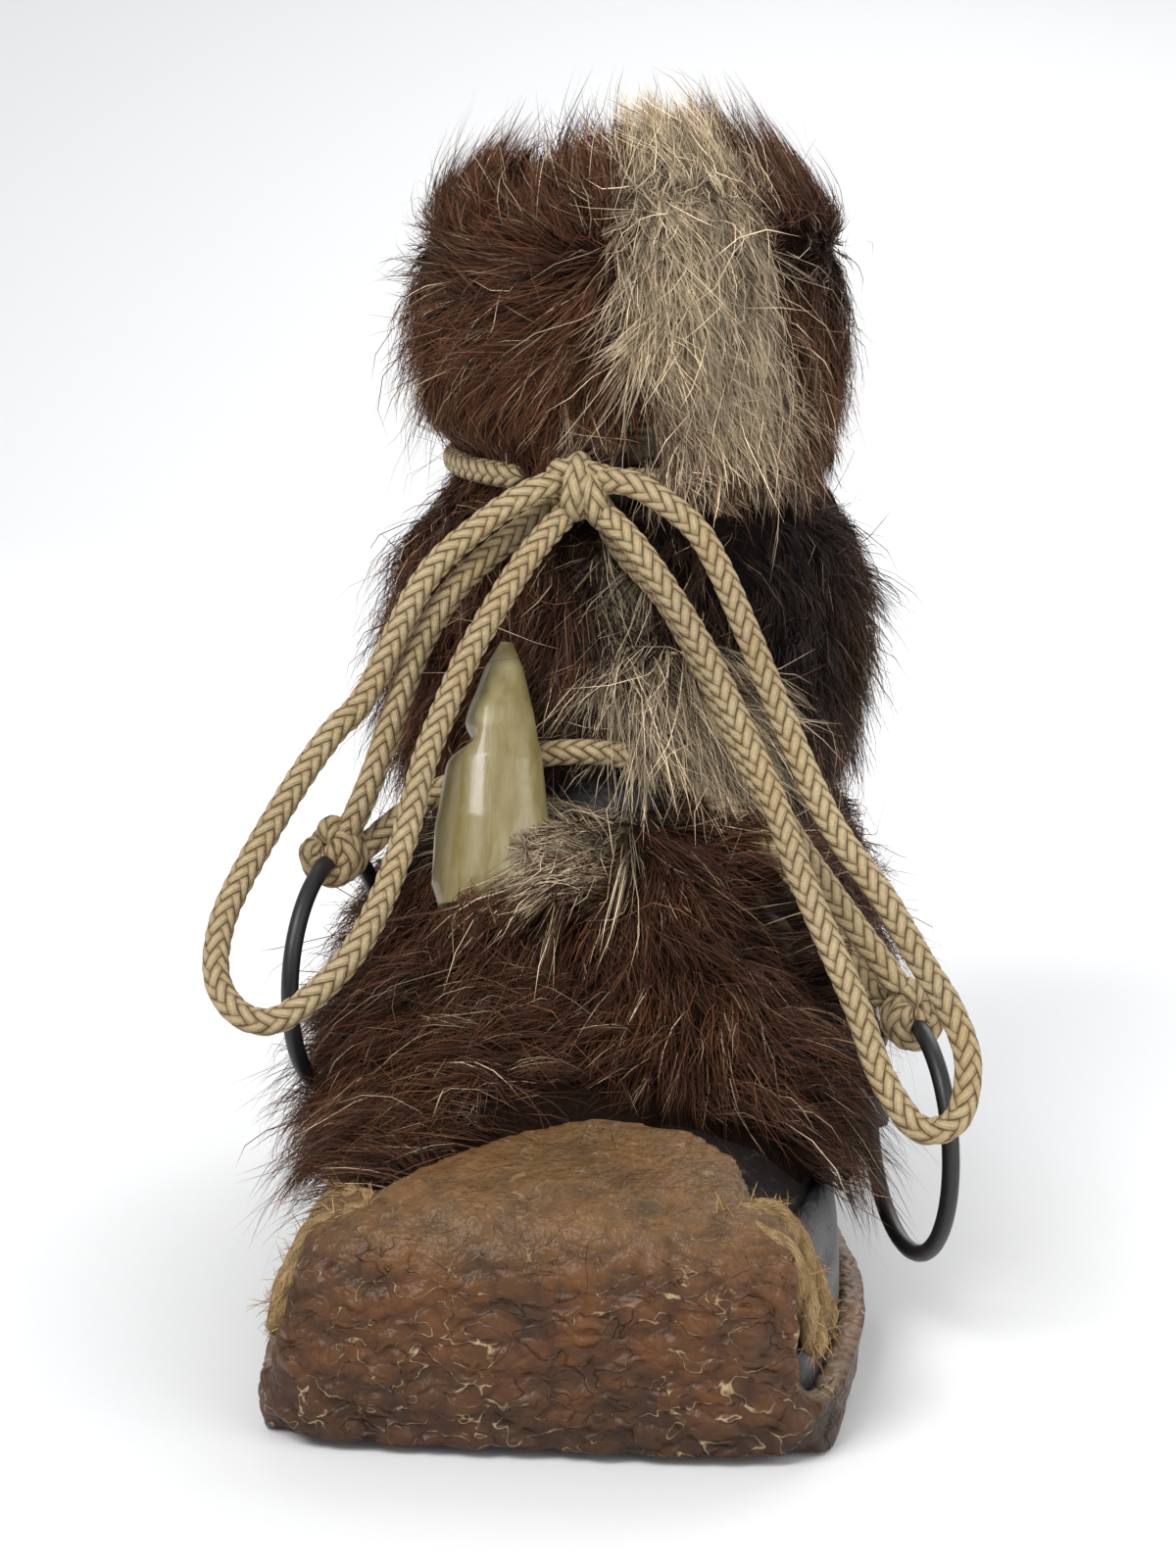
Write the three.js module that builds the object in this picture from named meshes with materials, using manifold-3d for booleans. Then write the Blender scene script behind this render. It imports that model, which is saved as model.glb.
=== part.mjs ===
// A right-foot fur boot: a hollow leather boot on a hide sole that folds back over the toe, with
// three panels of deep fur, cord ties with a bow, a horn toggle and two wire rings.
// Millimetres, +Z up. The toe points to -Y and the wearer's inner side is +X. The origin is on the
// floor, under the middle of the sole.

import * as THREE from 'three';
import { mergeVertices } from 'three/addons/utils/BufferGeometryUtils.js';
import Module from 'manifold-3d';

const wasm = await Module();
wasm.setup();

// Driving sizes
const footLength = 264;
const ballWidth = 112;
const instepHeight = 100;
const shaftHeight = 252;
const upperWall = 2.5;
const randThickness = 2.2;
const randHeight = 40;
const hideThickness = 5.6;
const rimHeight = 13;
const toeSpring = 2;
const insoleThickness = 3;
const cordDiameter = 6;
const twineDiameter = 5.5;
const ringDiameter = 58;
const ringWire = 4;
const toggleLength = 64;
const strapWidth = 12;
const strapThickness = 2.3;
const clearance = 0.3;
const furGap = 0.5;
const strapReach = 16;

// Fineness of the faceted forms
const columns = 18;
const cordSides = 8;
const facetSlack = 1.3;

const halfWidth = ballWidth / 2;
const shaftRise = shaftHeight - instepHeight;
const cordRadius = cordDiameter / 2;
const twineRadius = twineDiameter / 2;
const ringRadius = (ringDiameter - ringWire) / 2;
const farAway = 2 * footLength;
const ankleTieHeight = 0.742 * shaftHeight;

// The body's sections run from the toe cap to above the collar. Each is a ring in a plane through
// its top or front point and its bottom or back point. Lengths are shares: along of footLength,
// foot of instepHeight, rise of shaftRise, inner and outer of half the ball width. widest is the
// height of the widest place within the section, and squareness its superellipse power.
const sectionColumns = [
  'topAlong', 'topFoot', 'topRise', 'endAlong', 'endFoot', 'endRise',
  'inner', 'outer', 'widest', 'squareness',
];
const sections = [
  [0.0, 0.33, 0, 0.0, 0.14, 0, 0.68, 0.74, 0.5, 3.0],
  [0.01, 0.41, 0, 0.004, -0.02, 0, 0.83, 0.89, 0.46, 3.2],
  [0.042, 0.47, 0, 0.022, -0.16, 0, 0.93, 0.96, 0.45, 3.0],
  [0.121, 0.51, 0, 0.121, -0.14, 0, 0.98, 1.0, 0.43, 2.7],
  [0.216, 0.6, 0, 0.22, -0.14, 0, 1.0, 1.02, 0.4, 2.5],
  [0.311, 0.77, 0, 0.318, -0.14, 0, 0.97, 1.01, 0.36, 2.3],
  [0.386, 0.97, 0, 0.417, -0.14, 0, 0.89, 0.96, 0.33, 2.2],
  [0.451, 1.0, 0.125, 0.508, -0.14, 0, 0.81, 0.9, 0.28, 2.4],
  [0.496, 1.0, 0.276, 0.606, -0.14, 0, 0.79, 0.86, 0.25, 2.5],
  [0.523, 1.0, 0.428, 0.72, -0.14, 0, 0.79, 0.84, 0.25, 2.6],
  [0.534, 1.0, 0.566, 0.868, -0.14, 0, 0.78, 0.82, 0.24, 2.7],
  [0.538, 1.0, 0.658, 0.962, 0.03, 0, 0.78, 0.81, 0.3, 2.6],
  [0.538, 1.0, 0.717, 0.994, 0.34, 0, 0.77, 0.79, 0.38, 2.5],
  [0.534, 1.0, 0.776, 0.989, 0.75, 0, 0.76, 0.78, 0.44, 2.3],
  [0.53, 1.0, 0.829, 0.97, 1.0, 0.12, 0.74, 0.75, 0.48, 2.2],
  [0.526, 1.0, 0.888, 0.951, 1.0, 0.38, 0.72, 0.73, 0.5, 2.1],
  [0.526, 1.0, 0.941, 0.939, 1.0, 0.66, 0.72, 0.74, 0.5, 2.1],
  [0.526, 1.0, 0.993, 0.936, 1.0, 0.95, 0.73, 0.75, 0.5, 2.1],
  [0.526, 1.0, 1.15, 0.936, 1.0, 1.15, 0.75, 0.77, 0.5, 2.1],
];
const lastSection = sections.length - 1;

// Panels of fur. Heights are shares of shaftHeight and give where the pile swells; pile is its
// depth at the sides, front its share at the front, lockLength and lockWidth the size of a lock
// and lift how far a lock stands off the pile.
const furPanels = {
  foot: { low: 0.05, high: 0.5, pile: 20, front: 0.7, lockLength: 31, lockWidth: 25, lift: 6 },
  shaft: { low: 0.42, high: 0.76, pile: 21, front: 0.8, lockLength: 36, lockWidth: 26, lift: 7 },
  cuff: { low: 0.73, high: 1.06, pile: 15, front: 1, lockLength: 30, lockWidth: 24, lift: 5 },
};

// Cord routes, as points on the cord's middle line
const bowKnotPlace = [-7, -2, 186];
const bowKnotSize = [18, 18, 17];
const ringKnotSize = [13, 14, 15];
const outerLoopRoute = [
  [-9, -4, 188], [-18, -10, 186], [-30, -14, 178], [-42, -20, 166], [-54, -30, 141], [-61, -36, 133],
  [-69, -44, 121], [-79, -58, 102], [-82, -66, 92], [-81, -73, 83], [-75, -78, 77],
  [-67, -79, 76], [-58, -77, 82], [-50, -73, 91], [-45, -65, 101], [-41, -56, 114],
  [-38, -46, 129], [-34, -37, 141], [-30, -30, 151], [-24, -24, 162], [-17, -15, 173],
  [-9, -5, 182],
];
const innerLoopRoute = [
  [-5, -5, 188], [6, -11, 188], [19, -14, 180], [26, -19, 171], [34, -28, 156], [43, -38, 138],
  [54, -50, 118], [67, -62, 103], [75, -71, 92], [82, -79, 83], [86, -85, 73],
  [84, -90, 62], [76, -92, 60], [68, -87, 69], [62, -78, 82], [56, -70, 93],
  [48, -60, 108], [41, -49, 123], [32, -38, 139], [22, -27, 155], [8, -16, 173],
  [-3, -6, 182],
];
const outerTailRoute = [
  [-8, 0, 187], [-19, -3, 178], [-28, -9, 171], [-36, -15, 163], [-43, -20, 151], [-48, -28, 136],
  [-52, -34, 123], [-56, -37, 113], [-59, -38, 107],
];
const innerTailRoute = [
  [-6, 0, 187], [2, 0, 172], [14, -11, 161], [24, -18, 145], [34, -28, 127],
  [46, -38, 110], [58, -45, 95], [67, -49, 84], [71, -49, 78],
];
const instepTieRoute = [
  [-57, -36, 103], [-49, -31, 110], [-39, -27, 117], [-26, -24, 123], [-12, -20, 126],
  [5, -17, 125], [23, -18, 118], [42, -24, 103], [54, -31, 88], [63, -39, 78], [68, -44, 75],
];

// Places of the hard trim
const outerRing = { place: [-60.5, -38, 77], heading: [-0.22, -0.97] };
const innerRing = { place: [73, -48, 45], heading: [0.36, -0.93] };
const toggleTip = [-24, -15, 152];
const toggleHeel = [-23.5, -47, 95];

// Scalar helpers
function mix(a, b, t) {
  return a + (b - a) * t;
}

function clamp(value, low, high) {
  return Math.min(high, Math.max(low, value));
}

function signedPower(value, power) {
  return Math.sign(value) * Math.abs(value) ** power;
}

// Even but irregular steps between -1 and 1, the same on each run
function wobble(index) {
  const goldenShare = 0.61803398875;
  return 2 * ((index * goldenShare) % 1) - 1;
}

// Catmull-Rom value of one column of the section table
function columnAt(name, u) {
  const column = sectionColumns.indexOf(name);
  const row = clamp(Math.floor(u), 0, lastSection - 1);
  const t = u - row;
  const value = (index) => sections[clamp(index, 0, lastSection)][column];
  const before = value(row - 1);
  const start = value(row);
  const end = value(row + 1);
  const after = value(row + 2);
  const bend = 2 * before - 5 * start + 4 * end - after;
  const twist = 3 * start - before - 3 * end + after;
  return start + 0.5 * t * (end - before + t * (bend + t * twist));
}

function alongToY(share) {
  return (share - 0.5) * footLength;
}

// A point of the body: u counts sections, angle runs from the top or front over the inner side
function bodyPoint(u, angle) {
  const at = (name) => columnAt(name, u);
  const power = 2 / at('squareness');
  const across = signedPower(Math.sin(angle), power);
  const upward = signedPower(Math.cos(angle), power);
  const widest = at('widest');
  const share = upward > 0 ? widest + (1 - widest) * upward : widest * (1 + upward);
  const topZ = at('topFoot') * instepHeight + at('topRise') * shaftRise;
  const endZ = at('endFoot') * instepHeight + at('endRise') * shaftRise;
  return new THREE.Vector3(
    across * halfWidth * (across > 0 ? at('inner') : at('outer')),
    mix(alongToY(at('endAlong')), alongToY(at('topAlong')), share),
    mix(endZ, topZ, share),
  );
}

function bodyNormal(u, angle) {
  const step = 0.02;
  const low = clamp(u - step, 0, lastSection);
  const high = clamp(u + step, 0, lastSection);
  const along = bodyPoint(high, angle).sub(bodyPoint(low, angle));
  const around = bodyPoint(u, angle + step).sub(bodyPoint(u, angle - step));
  return around.cross(along).normalize();
}

// The body's surface moved out by a distance, or in where it is negative
function grownPoint(u, angle, grow) {
  return bodyPoint(u, angle).addScaledVector(bodyNormal(u, angle), grow);
}

// Solids
function solidOf(geometry) {
  geometry.deleteAttribute('normal');
  geometry.deleteAttribute('uv');
  const merged = mergeVertices(geometry, 1e-4);
  return new wasm.Manifold(new wasm.Mesh({
    numProp: 3,
    vertProperties: new Float32Array(merged.attributes.position.array),
    triVerts: new Uint32Array(merged.index.array),
  }));
}

function geometryOf(solid) {
  const mesh = solid.getMesh();
  const geometry = new THREE.BufferGeometry();
  geometry.setAttribute('position', new THREE.BufferAttribute(mesh.vertProperties, mesh.numProp));
  geometry.setIndex(new THREE.BufferAttribute(mesh.triVerts, 1));
  const faces = geometry.toNonIndexed();
  faces.computeVertexNormals();
  return faces;
}

function union(solids) {
  return wasm.Manifold.union(solids);
}

// The largest of the separate bodies that a cut leaves
function mainBody(solid) {
  const bodies = solid.decompose();
  return bodies.reduce((best, body) => (body.volume() > best.volume() ? body : best));
}

// A closed solid of the body, moved out by growAt(u, angle)
function bodySolid(growAt) {
  const geometry = new THREE.CylinderGeometry(1, 1, 1, columns, lastSection);
  const position = geometry.attributes.position;
  const vertex = new THREE.Vector3();
  for (let index = 0; index < position.count; index += 1) {
    vertex.fromBufferAttribute(position, index);
    const u = Math.round((vertex.y + 0.5) * lastSection);
    const angle = Math.atan2(vertex.x, vertex.z);
    const outward = Math.hypot(vertex.x, vertex.z) > 0.5;
    const middle = bodyPoint(u, 0).lerp(bodyPoint(u, Math.PI), 0.5);
    if (u === 0) middle.y -= growAt(u, 0);
    const point = outward ? grownPoint(u, angle, growAt(u, angle)) : middle;
    position.setXYZ(index, point.x, point.y, point.z);
  }
  return solidOf(geometry);
}

function evenBody(grow) {
  return bodySolid(() => grow);
}

function boxBetween(low, high) {
  const size = high.map((value, axis) => value - low[axis]);
  const middle = high.map((value, axis) => (value + low[axis]) / 2);
  return solidOf(new THREE.BoxGeometry(...size).translate(...middle));
}

function layerBetween(bottom, top) {
  return boxBetween([-farAway, -farAway, bottom], [farAway, farAway, top]);
}

// A prism whose outline is drawn from the side, as [y, z], running right across
function sidePrism(outline) {
  const shape = new THREE.Shape(outline.map(([y, z]) => new THREE.Vector2(y, z)));
  const geometry = new THREE.ExtrudeGeometry(shape, { depth: 2 * farAway, bevelEnabled: false });
  const toSide = new THREE.Matrix4().makeBasis(
    new THREE.Vector3(0, 1, 0),
    new THREE.Vector3(0, 0, 1),
    new THREE.Vector3(1, 0, 0),
  );
  return solidOf(geometry.applyMatrix4(toSide).translate(-farAway, 0, 0));
}

// A prism drawn from the front, as [x, z], from near to far
function frontPrism(outline, near, far) {
  const shape = new THREE.Shape(outline.map(([x, z]) => new THREE.Vector2(x, z)));
  const geometry = new THREE.ExtrudeGeometry(shape, { depth: far - near, bevelEnabled: false });
  return solidOf(geometry.rotateX(Math.PI / 2).translate(0, far, 0));
}

// A prism drawn from above, as [x, y], between two heights
function planPrism(outline, bottom, top) {
  const shape = new THREE.Shape(outline.map(([x, y]) => new THREE.Vector2(x, y)));
  const geometry = new THREE.ExtrudeGeometry(shape, { depth: top - bottom, bevelEnabled: false });
  return solidOf(geometry.translate(0, 0, bottom));
}

// A round cord with a step every two or three diameters
function cordSolid(route, radius) {
  const circle = new THREE.Shape();
  for (let side = 0; side < cordSides; side += 1) {
    const turn = (2 * Math.PI * (side + 0.5)) / cordSides;
    const corner = [radius * Math.cos(turn), radius * Math.sin(turn)];
    if (side === 0) circle.moveTo(...corner);
    else circle.lineTo(...corner);
  }
  const points = route.map((point) => new THREE.Vector3(...point));
  const path = new THREE.CatmullRomCurve3(points, false, 'centripetal');
  const steps = Math.ceil(path.getLength() / (3 * cordDiameter));
  return solidOf(new THREE.ExtrudeGeometry(circle, { steps, extrudePath: path }));
}

function knotSolid(place, size, grow = 0) {
  const geometry = new THREE.SphereGeometry(1, 8, 6);
  const radii = size.map((value) => value / 2 + grow);
  return solidOf(geometry.scale(...radii).translate(...place));
}

// A form drawn about the Z axis, stood up so that it lies along a ring's heading
function stoodUp(geometry, ring) {
  const heading = new THREE.Vector3(...ring.heading, 0).normalize();
  const up = new THREE.Vector3(0, 0, 1);
  const turn = new THREE.Matrix4().makeBasis(heading, up, heading.clone().cross(up));
  return solidOf(geometry.applyMatrix4(turn).translate(...ring.place));
}

function ringSolid(ring, grow = 0) {
  return stoodUp(new THREE.TorusGeometry(ringRadius, ringWire / 2 + grow, 6, 18), ring);
}

// The room in the fur that a ring lies in
function ringRoom(ring) {
  const radius = ringRadius + ringWire / 2 + 2 * furGap;
  const depth = 4.5 * ringWire;
  return stoodUp(new THREE.CylinderGeometry(radius, radius, depth, 16).rotateX(Math.PI / 2), ring);
}

// Forms that several pieces share
const floorOfUpper = hideThickness + clearance;
const randSeat = randThickness + clearance;
const hideSeat = randSeat + clearance;
const upperForm = evenBody(0);
const randForm = evenBody(randSeat);
const hideInside = evenBody(hideSeat);
const hideOutside = evenBody(hideSeat + hideThickness);
const pileSeat = evenBody(clearance);
const randKeepOut = hideInside.intersect(layerBetween(-farAway, randHeight + clearance));

// The hide's fold over the toe: its front is drawn from the front and its tongue from above.
// Shares of half the ball width, of randHeight and of footLength.
function foldRegion(margin) {
  const foldTop = 1.22 * randHeight;
  const x = (share) => share * halfWidth + Math.sign(share) * margin;
  const front = [
    [x(-1.12), -hideThickness], [x(-0.98), 0.62 * randHeight], [x(-0.9), 1.02 * randHeight],
    [x(-0.81), foldTop + margin], [x(0.84), foldTop + margin], [x(0.9), randHeight],
    [x(0.93), 0.5 * randHeight], [x(0.98), -hideThickness],
  ];
  const y = (share) => alongToY(share) + margin;
  const tongue = [
    [x(-0.81), y(-0.2)], [x(0.84), y(-0.2)], [x(0.84), y(0.01)], [x(0.77), y(0.03)],
    [x(0.72), y(0.08)], [x(0.65), y(0.122)], [x(0.5), y(0.138)], [x(0.1), y(0.14)],
    [x(-0.16), y(0.12)], [x(-0.42), y(0.082)], [x(-0.6), y(0.045)], [x(-0.73), y(0.012)],
    [x(-0.81), y(-0.01)],
  ];
  const nearEdge = alongToY(-0.2);
  const face = frontPrism(front.reverse(), nearEdge, alongToY(0.06) + margin);
  const top = planPrism(tongue, foldTop - margin - hideThickness, instepHeight);
  return face.add(top);
}

function outsole() {
  const tread = sidePrism([
    [alongToY(1.2), 0], [alongToY(1.2), instepHeight], [alongToY(-0.2), instepHeight],
    [alongToY(-0.2), 2 * toeSpring], [alongToY(-0.01), toeSpring], [alongToY(0.025), 0],
  ]);
  const tray = hideOutside.intersect(tread).subtract(
    hideInside.intersect(layerBetween(hideThickness, farAway)),
  );
  const kept = layerBetween(-farAway, rimHeight).add(foldRegion(0));
  return mainBody(tray.intersect(kept));
}

function upper() {
  const walls = upperForm.subtract(evenBody(-upperWall));
  return walls.intersect(layerBetween(floorOfUpper, shaftHeight));
}

function rand() {
  const band = randForm.subtract(pileSeat);
  return mainBody(band.intersect(layerBetween(floorOfUpper, randHeight)));
}

function insole() {
  const inside = evenBody(-upperWall - clearance);
  return inside.intersect(layerBetween(floorOfUpper, floorOfUpper + insoleThickness));
}

// Fur: a pile over one panel, with locks of hair fused on
function pileDepth(panel, u, angle) {
  const height = bodyPoint(u, angle).z / shaftHeight;
  const share = clamp((height - panel.low) / (panel.high - panel.low), 0, 1);
  const sideways = mix(panel.front, 1, Math.abs(Math.sin(angle)));
  return clearance + panel.pile * sideways * (0.3 + 0.7 * Math.sin(Math.PI * share));
}

// One lock: a tapering square cone that leaves the pile and lies over along its flow
function lockSolid(root, normal, flow, length, width, lift) {
  const start = root.clone().addScaledVector(normal, -0.5 * lift);
  const crown = root.clone().addScaledVector(normal, lift).addScaledVector(flow, 0.3 * length);
  const tip = root.clone().addScaledVector(normal, 0.8 * lift).addScaledVector(flow, length);
  const path = new THREE.QuadraticBezierCurve3(start, crown, tip);
  const side = new THREE.Vector3().crossVectors(normal, flow).normalize();
  const geometry = new THREE.ConeGeometry(width / 2, 1, 4, 2);
  const position = geometry.attributes.position;
  for (let index = 0; index < position.count; index += 1) {
    const t = position.getY(index) + 0.5;
    const tangent = path.getTangent(t);
    const other = new THREE.Vector3().crossVectors(side, tangent);
    const point = path.getPoint(t);
    point.addScaledVector(side, position.getX(index));
    point.addScaledVector(other, 0.6 * position.getZ(index));
    position.setXYZ(index, point.x, point.y, point.z);
  }
  return solidOf(geometry);
}

// Locks over a panel: rows along the sections and columns around them, kept where wanted(point)
function furSolid(panel, rows, perRow, flowAt, wanted) {
  const depthAt = (u, angle) => pileDepth(panel, u, angle);
  const locks = [];
  rows.forEach((row, rowIndex) => {
    for (let place = 0; place < perRow; place += 1) {
      const number = rowIndex * perRow + place;
      const u = clamp(row + 0.2 * wobble(number), 0, lastSection);
      const turn = (place + 0.5 * (rowIndex % 2) + 0.25 * wobble(3 * number)) / perRow;
      const angle = 2 * Math.PI * turn;
      const root = grownPoint(u, angle, depthAt(u, angle) - 0.25 * panel.pile);
      if (!wanted(root)) continue;
      const normal = bodyNormal(u, angle);
      const flow = flowAt(root, normal).projectOnPlane(normal).normalize();
      const size = 1 + 0.25 * wobble(5 * number);
      locks.push(lockSolid(
        root, normal, flow, panel.lockLength * size, panel.lockWidth, panel.lift * size,
      ));
    }
  });
  return { pile: bodySolid(depthAt), locks: union(locks) };
}

// Everything that the fur lies round
function furKeepOut() {
  const cords = [outerLoopRoute, innerLoopRoute, outerTailRoute, innerTailRoute, instepTieRoute];
  const rings = [outerRing, innerRing];
  const tieRoom = cordRadius + 2 * furGap;
  return union([
    pileSeat,
    randKeepOut,
    ...cords.map((route) => cordSolid(route, cordRadius + furGap)),
    ...rings.map(ringRoom),
    ...rings.map((ring) => ringKnot(ring, furGap)),
    ...strapSolids(furGap),
    toggleSolid(furGap),
    bowKnot(furGap),
    foldRegion(4 * furGap),
    layerBetween(ankleTieHeight - tieRoom, ankleTieHeight + tieRoom),
    ...lashingSolids(furGap),
  ]);
}

function furOver(panel, rows, perRow, flowAt, wanted, pileOutline, lockOutline, keepOut) {
  const { pile, locks } = furSolid(panel, rows, perRow, flowAt, wanted);
  const trimmed = pile.intersect(sidePrism(pileOutline));
  const hanging = locks.intersect(sidePrism(lockOutline));
  return mainBody(trimmed.add(hanging).subtract(keepOut));
}

// Side outlines of the panels, as shares of footLength and shaftHeight
function outlineOf(points) {
  return points.map(([along, height]) => [alongToY(along), height * shaftHeight]);
}

function footFur(keepOut) {
  const outline = outlineOf([
    [0.05, 0.165], [1.2, 0.165], [1.2, 0.355], [0.54, 0.39], [0.42, 0.43], [0.36, 0.5],
    [0.05, 0.5],
  ]);
  const reach = outlineOf([
    [0.03, 0.125], [1.2, 0.125], [1.2, 0.375], [0.54, 0.41], [0.42, 0.45], [0.36, 0.53],
    [0.03, 0.53],
  ]);
  const flowAt = (root) => new THREE.Vector3(Math.sign(root.x) * 0.4, 0.5, -0.7);
  const wanted = (root) => {
    const along = root.y / footLength + 0.5;
    const height = root.z / shaftHeight;
    const brow = mix(0.45, 0.37, clamp((along - 0.3) / 0.24, 0, 1));
    return height > 0.17 && height < brow && along > 0.07;
  };
  const rows = [2.7, 3.8, 4.9, 6, 7.2, 8.6, 10.2, 11.8, 13];
  return furOver(furPanels.foot, rows, 11, flowAt, wanted, outline, reach, keepOut);
}

function shaftFur(keepOut) {
  const outline = outlineOf([
    [0.3, 0.725], [0.3, 0.58], [0.45, 0.51], [0.54, 0.45], [1.3, 0.4], [1.3, 0.725],
  ]);
  const reach = outlineOf([
    [0.3, 0.72], [0.3, 0.53], [0.45, 0.46], [0.54, 0.42], [1.3, 0.385], [1.3, 0.72],
  ]);
  const flowAt = (root) => new THREE.Vector3(0.05 * Math.sign(root.x), 0, -1);
  const wanted = (root) => {
    const along = root.y / footLength + 0.5;
    const height = root.z / shaftHeight;
    const hem = mix(0.5, 0.42, clamp((along - 0.45) / 0.15, 0, 1));
    return height > hem + 0.04 && height < 0.7;
  };
  const rows = [8, 9.4, 10.8, 12.2, 13.4, 14.2];
  return furOver(furPanels.shaft, rows, 10, flowAt, wanted, outline, reach, keepOut);
}

function cuffFur(keepOut) {
  const outline = outlineOf([[0.3, 0.76], [1.3, 0.76], [1.3, 1.02], [0.3, 1.02]]);
  const reach = outlineOf([[0.3, 0.72], [1.3, 0.72], [1.3, 1.07], [0.3, 1.07]]);
  const flowAt = (root) => new THREE.Vector3(0, 0, root.z > 0.93 * shaftHeight ? 1 : -1);
  const wanted = (root) => root.z > 0.79 * shaftHeight && root.z < shaftHeight;
  const rows = [15.3, 16.3, 17.1];
  return furOver(furPanels.cuff, rows, 11, flowAt, wanted, outline, reach, keepOut);
}

// Ties: the place on the body at one height, found by halving
function placeAtHeight(angle, height) {
  let low = 0;
  let high = lastSection;
  for (let round = 0; round < 30; round += 1) {
    const middle = (low + high) / 2;
    if (bodyPoint(middle, angle).z < height) low = middle;
    else high = middle;
  }
  return low;
}

function ankleTie() {
  const stops = 24;
  const opening = 0.17;
  const openingAt = -0.17;
  const route = [];
  for (let stop = 0; stop <= stops; stop += 1) {
    const angle = openingAt + mix(opening, 2 * Math.PI - opening, stop / stops);
    const u = placeAtHeight(angle, ankleTieHeight);
    const point = grownPoint(u, angle, cordRadius + facetSlack);
    route.push([point.x, point.y, ankleTieHeight]);
  }
  return cordSolid(route, cordRadius);
}

function instepTie() {
  return cordSolid(instepTieRoute, cordRadius).subtract(upperForm);
}

function bowKnot(grow = 0) {
  return knotSolid(bowKnotPlace, bowKnotSize, grow);
}

function ringKnot(ring, grow = 0) {
  const [x, y, z] = ring.place;
  return knotSolid([x, y, z + ringRadius + ringWire / 4], ringKnotSize, grow);
}

function looseCord(route, ends) {
  return mainBody(cordSolid(route, cordRadius).subtract(union(ends)));
}

// A loop of leather round each ring's wire, seated on the rand
function strapSolid(place, tangent, toBoot, grow) {
  const reach = strapReach + grow;
  const outer = ringWire / 2 + clearance + strapThickness + grow;
  const shape = new THREE.Shape();
  shape.absarc(0, 0, outer, 0.5 * Math.PI, 1.5 * Math.PI, false);
  shape.lineTo(reach, -outer);
  shape.lineTo(reach, outer);
  const depth = strapWidth + 2 * grow;
  const geometry = new THREE.ExtrudeGeometry(shape, { depth, bevelEnabled: false, curveSegments: 5 });
  const across = new THREE.Vector3().crossVectors(tangent, toBoot);
  geometry.translate(0, 0, -depth / 2);
  geometry.applyMatrix4(new THREE.Matrix4().makeBasis(toBoot, across, tangent));
  return solidOf(geometry.translate(place.x, place.y, place.z));
}

function strapSolids(grow = 0) {
  const headingOf = (ring) => new THREE.Vector3(...ring.heading, 0);
  const outerPlace = new THREE.Vector3(...outerRing.place);
  outerPlace.z -= ringRadius;
  const innerPlace = new THREE.Vector3(...innerRing.place);
  innerPlace.addScaledVector(headingOf(innerRing), -ringRadius);
  const down = new THREE.Vector3(0.25, 0, -1).normalize();
  const inward = new THREE.Vector3(-0.9, 0.5, 0).normalize();
  const outerTangent = headingOf(outerRing).projectOnPlane(down).normalize();
  return [
    strapSolid(outerPlace, outerTangent, down, grow),
    strapSolid(innerPlace, new THREE.Vector3(0, 0, 1), inward, grow),
  ];
}

function strap(index, ring) {
  const seat = evenBody(hideSeat);
  return mainBody(strapSolids()[index].subtract(seat).subtract(ringSolid(ring, clearance)));
}

// The toggle: a curved horn, as rings of width and depth along its length, in shares of it
const toggleStations = [
  { at: 0, width: 0.36, depth: 0.2, bow: 0 },
  { at: 0.08, width: 0.42, depth: 0.25, bow: 0 },
  { at: 0.3, width: 0.41, depth: 0.26, bow: 0.02 },
  { at: 0.52, width: 0.35, depth: 0.24, bow: 0.04 },
  { at: 0.72, width: 0.26, depth: 0.19, bow: 0.04 },
  { at: 0.9, width: 0.16, depth: 0.13, bow: 0.02 },
  { at: 1, width: 0.07, depth: 0.06, bow: 0 },
];

function toggleSolid(grow = 0) {
  const heel = new THREE.Vector3(...toggleHeel);
  const axis = new THREE.Vector3(...toggleTip).sub(heel).normalize();
  const side = new THREE.Vector3(1, 0, 0).projectOnPlane(axis).normalize();
  const front = new THREE.Vector3().crossVectors(axis, side);
  const rows = toggleStations.length - 1;
  const geometry = new THREE.CylinderGeometry(1, 1, 1, 10, rows);
  const position = geometry.attributes.position;
  for (let index = 0; index < position.count; index += 1) {
    const row = toggleStations[Math.round((position.getY(index) + 0.5) * rows)];
    const across = position.getX(index) * (0.5 * row.width * toggleLength + grow);
    const deep = position.getZ(index) * (0.5 * row.depth * toggleLength + grow);
    const end = row.at < 0.5 ? -grow : grow;
    const point = heel.clone().addScaledVector(axis, row.at * toggleLength + end);
    point.addScaledVector(side, across).addScaledVector(front, -deep - row.bow * toggleLength);
    position.setXYZ(index, point.x, point.y, point.z);
  }
  return solidOf(geometry);
}

function toggle() {
  return mainBody(toggleSolid().subtract(cordSolid(instepTieRoute, cordRadius + clearance)));
}

// Toe lashings: two turns of twine beside the fold, on the rand
function lashingSolids(grow = 0) {
  const seat = randSeat + clearance + twineRadius;
  const turns = [
    { from: [1.9, 0.17], by: [2.05, 0.3], to: [1.85, 0.47] },
    { from: [1.9, 0.17], by: [2.6, 0.27], to: [2.35, 0.45] },
  ];
  return [1, -1].map((side) => union(turns.map((turn) => {
    const route = [turn.from, turn.by, turn.to].map(([u, share]) => {
      const point = grownPoint(u, side * share * Math.PI, seat);
      return [point.x, point.y, point.z];
    });
    return cordSolid(route, twineRadius + grow);
  })));
}

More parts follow.
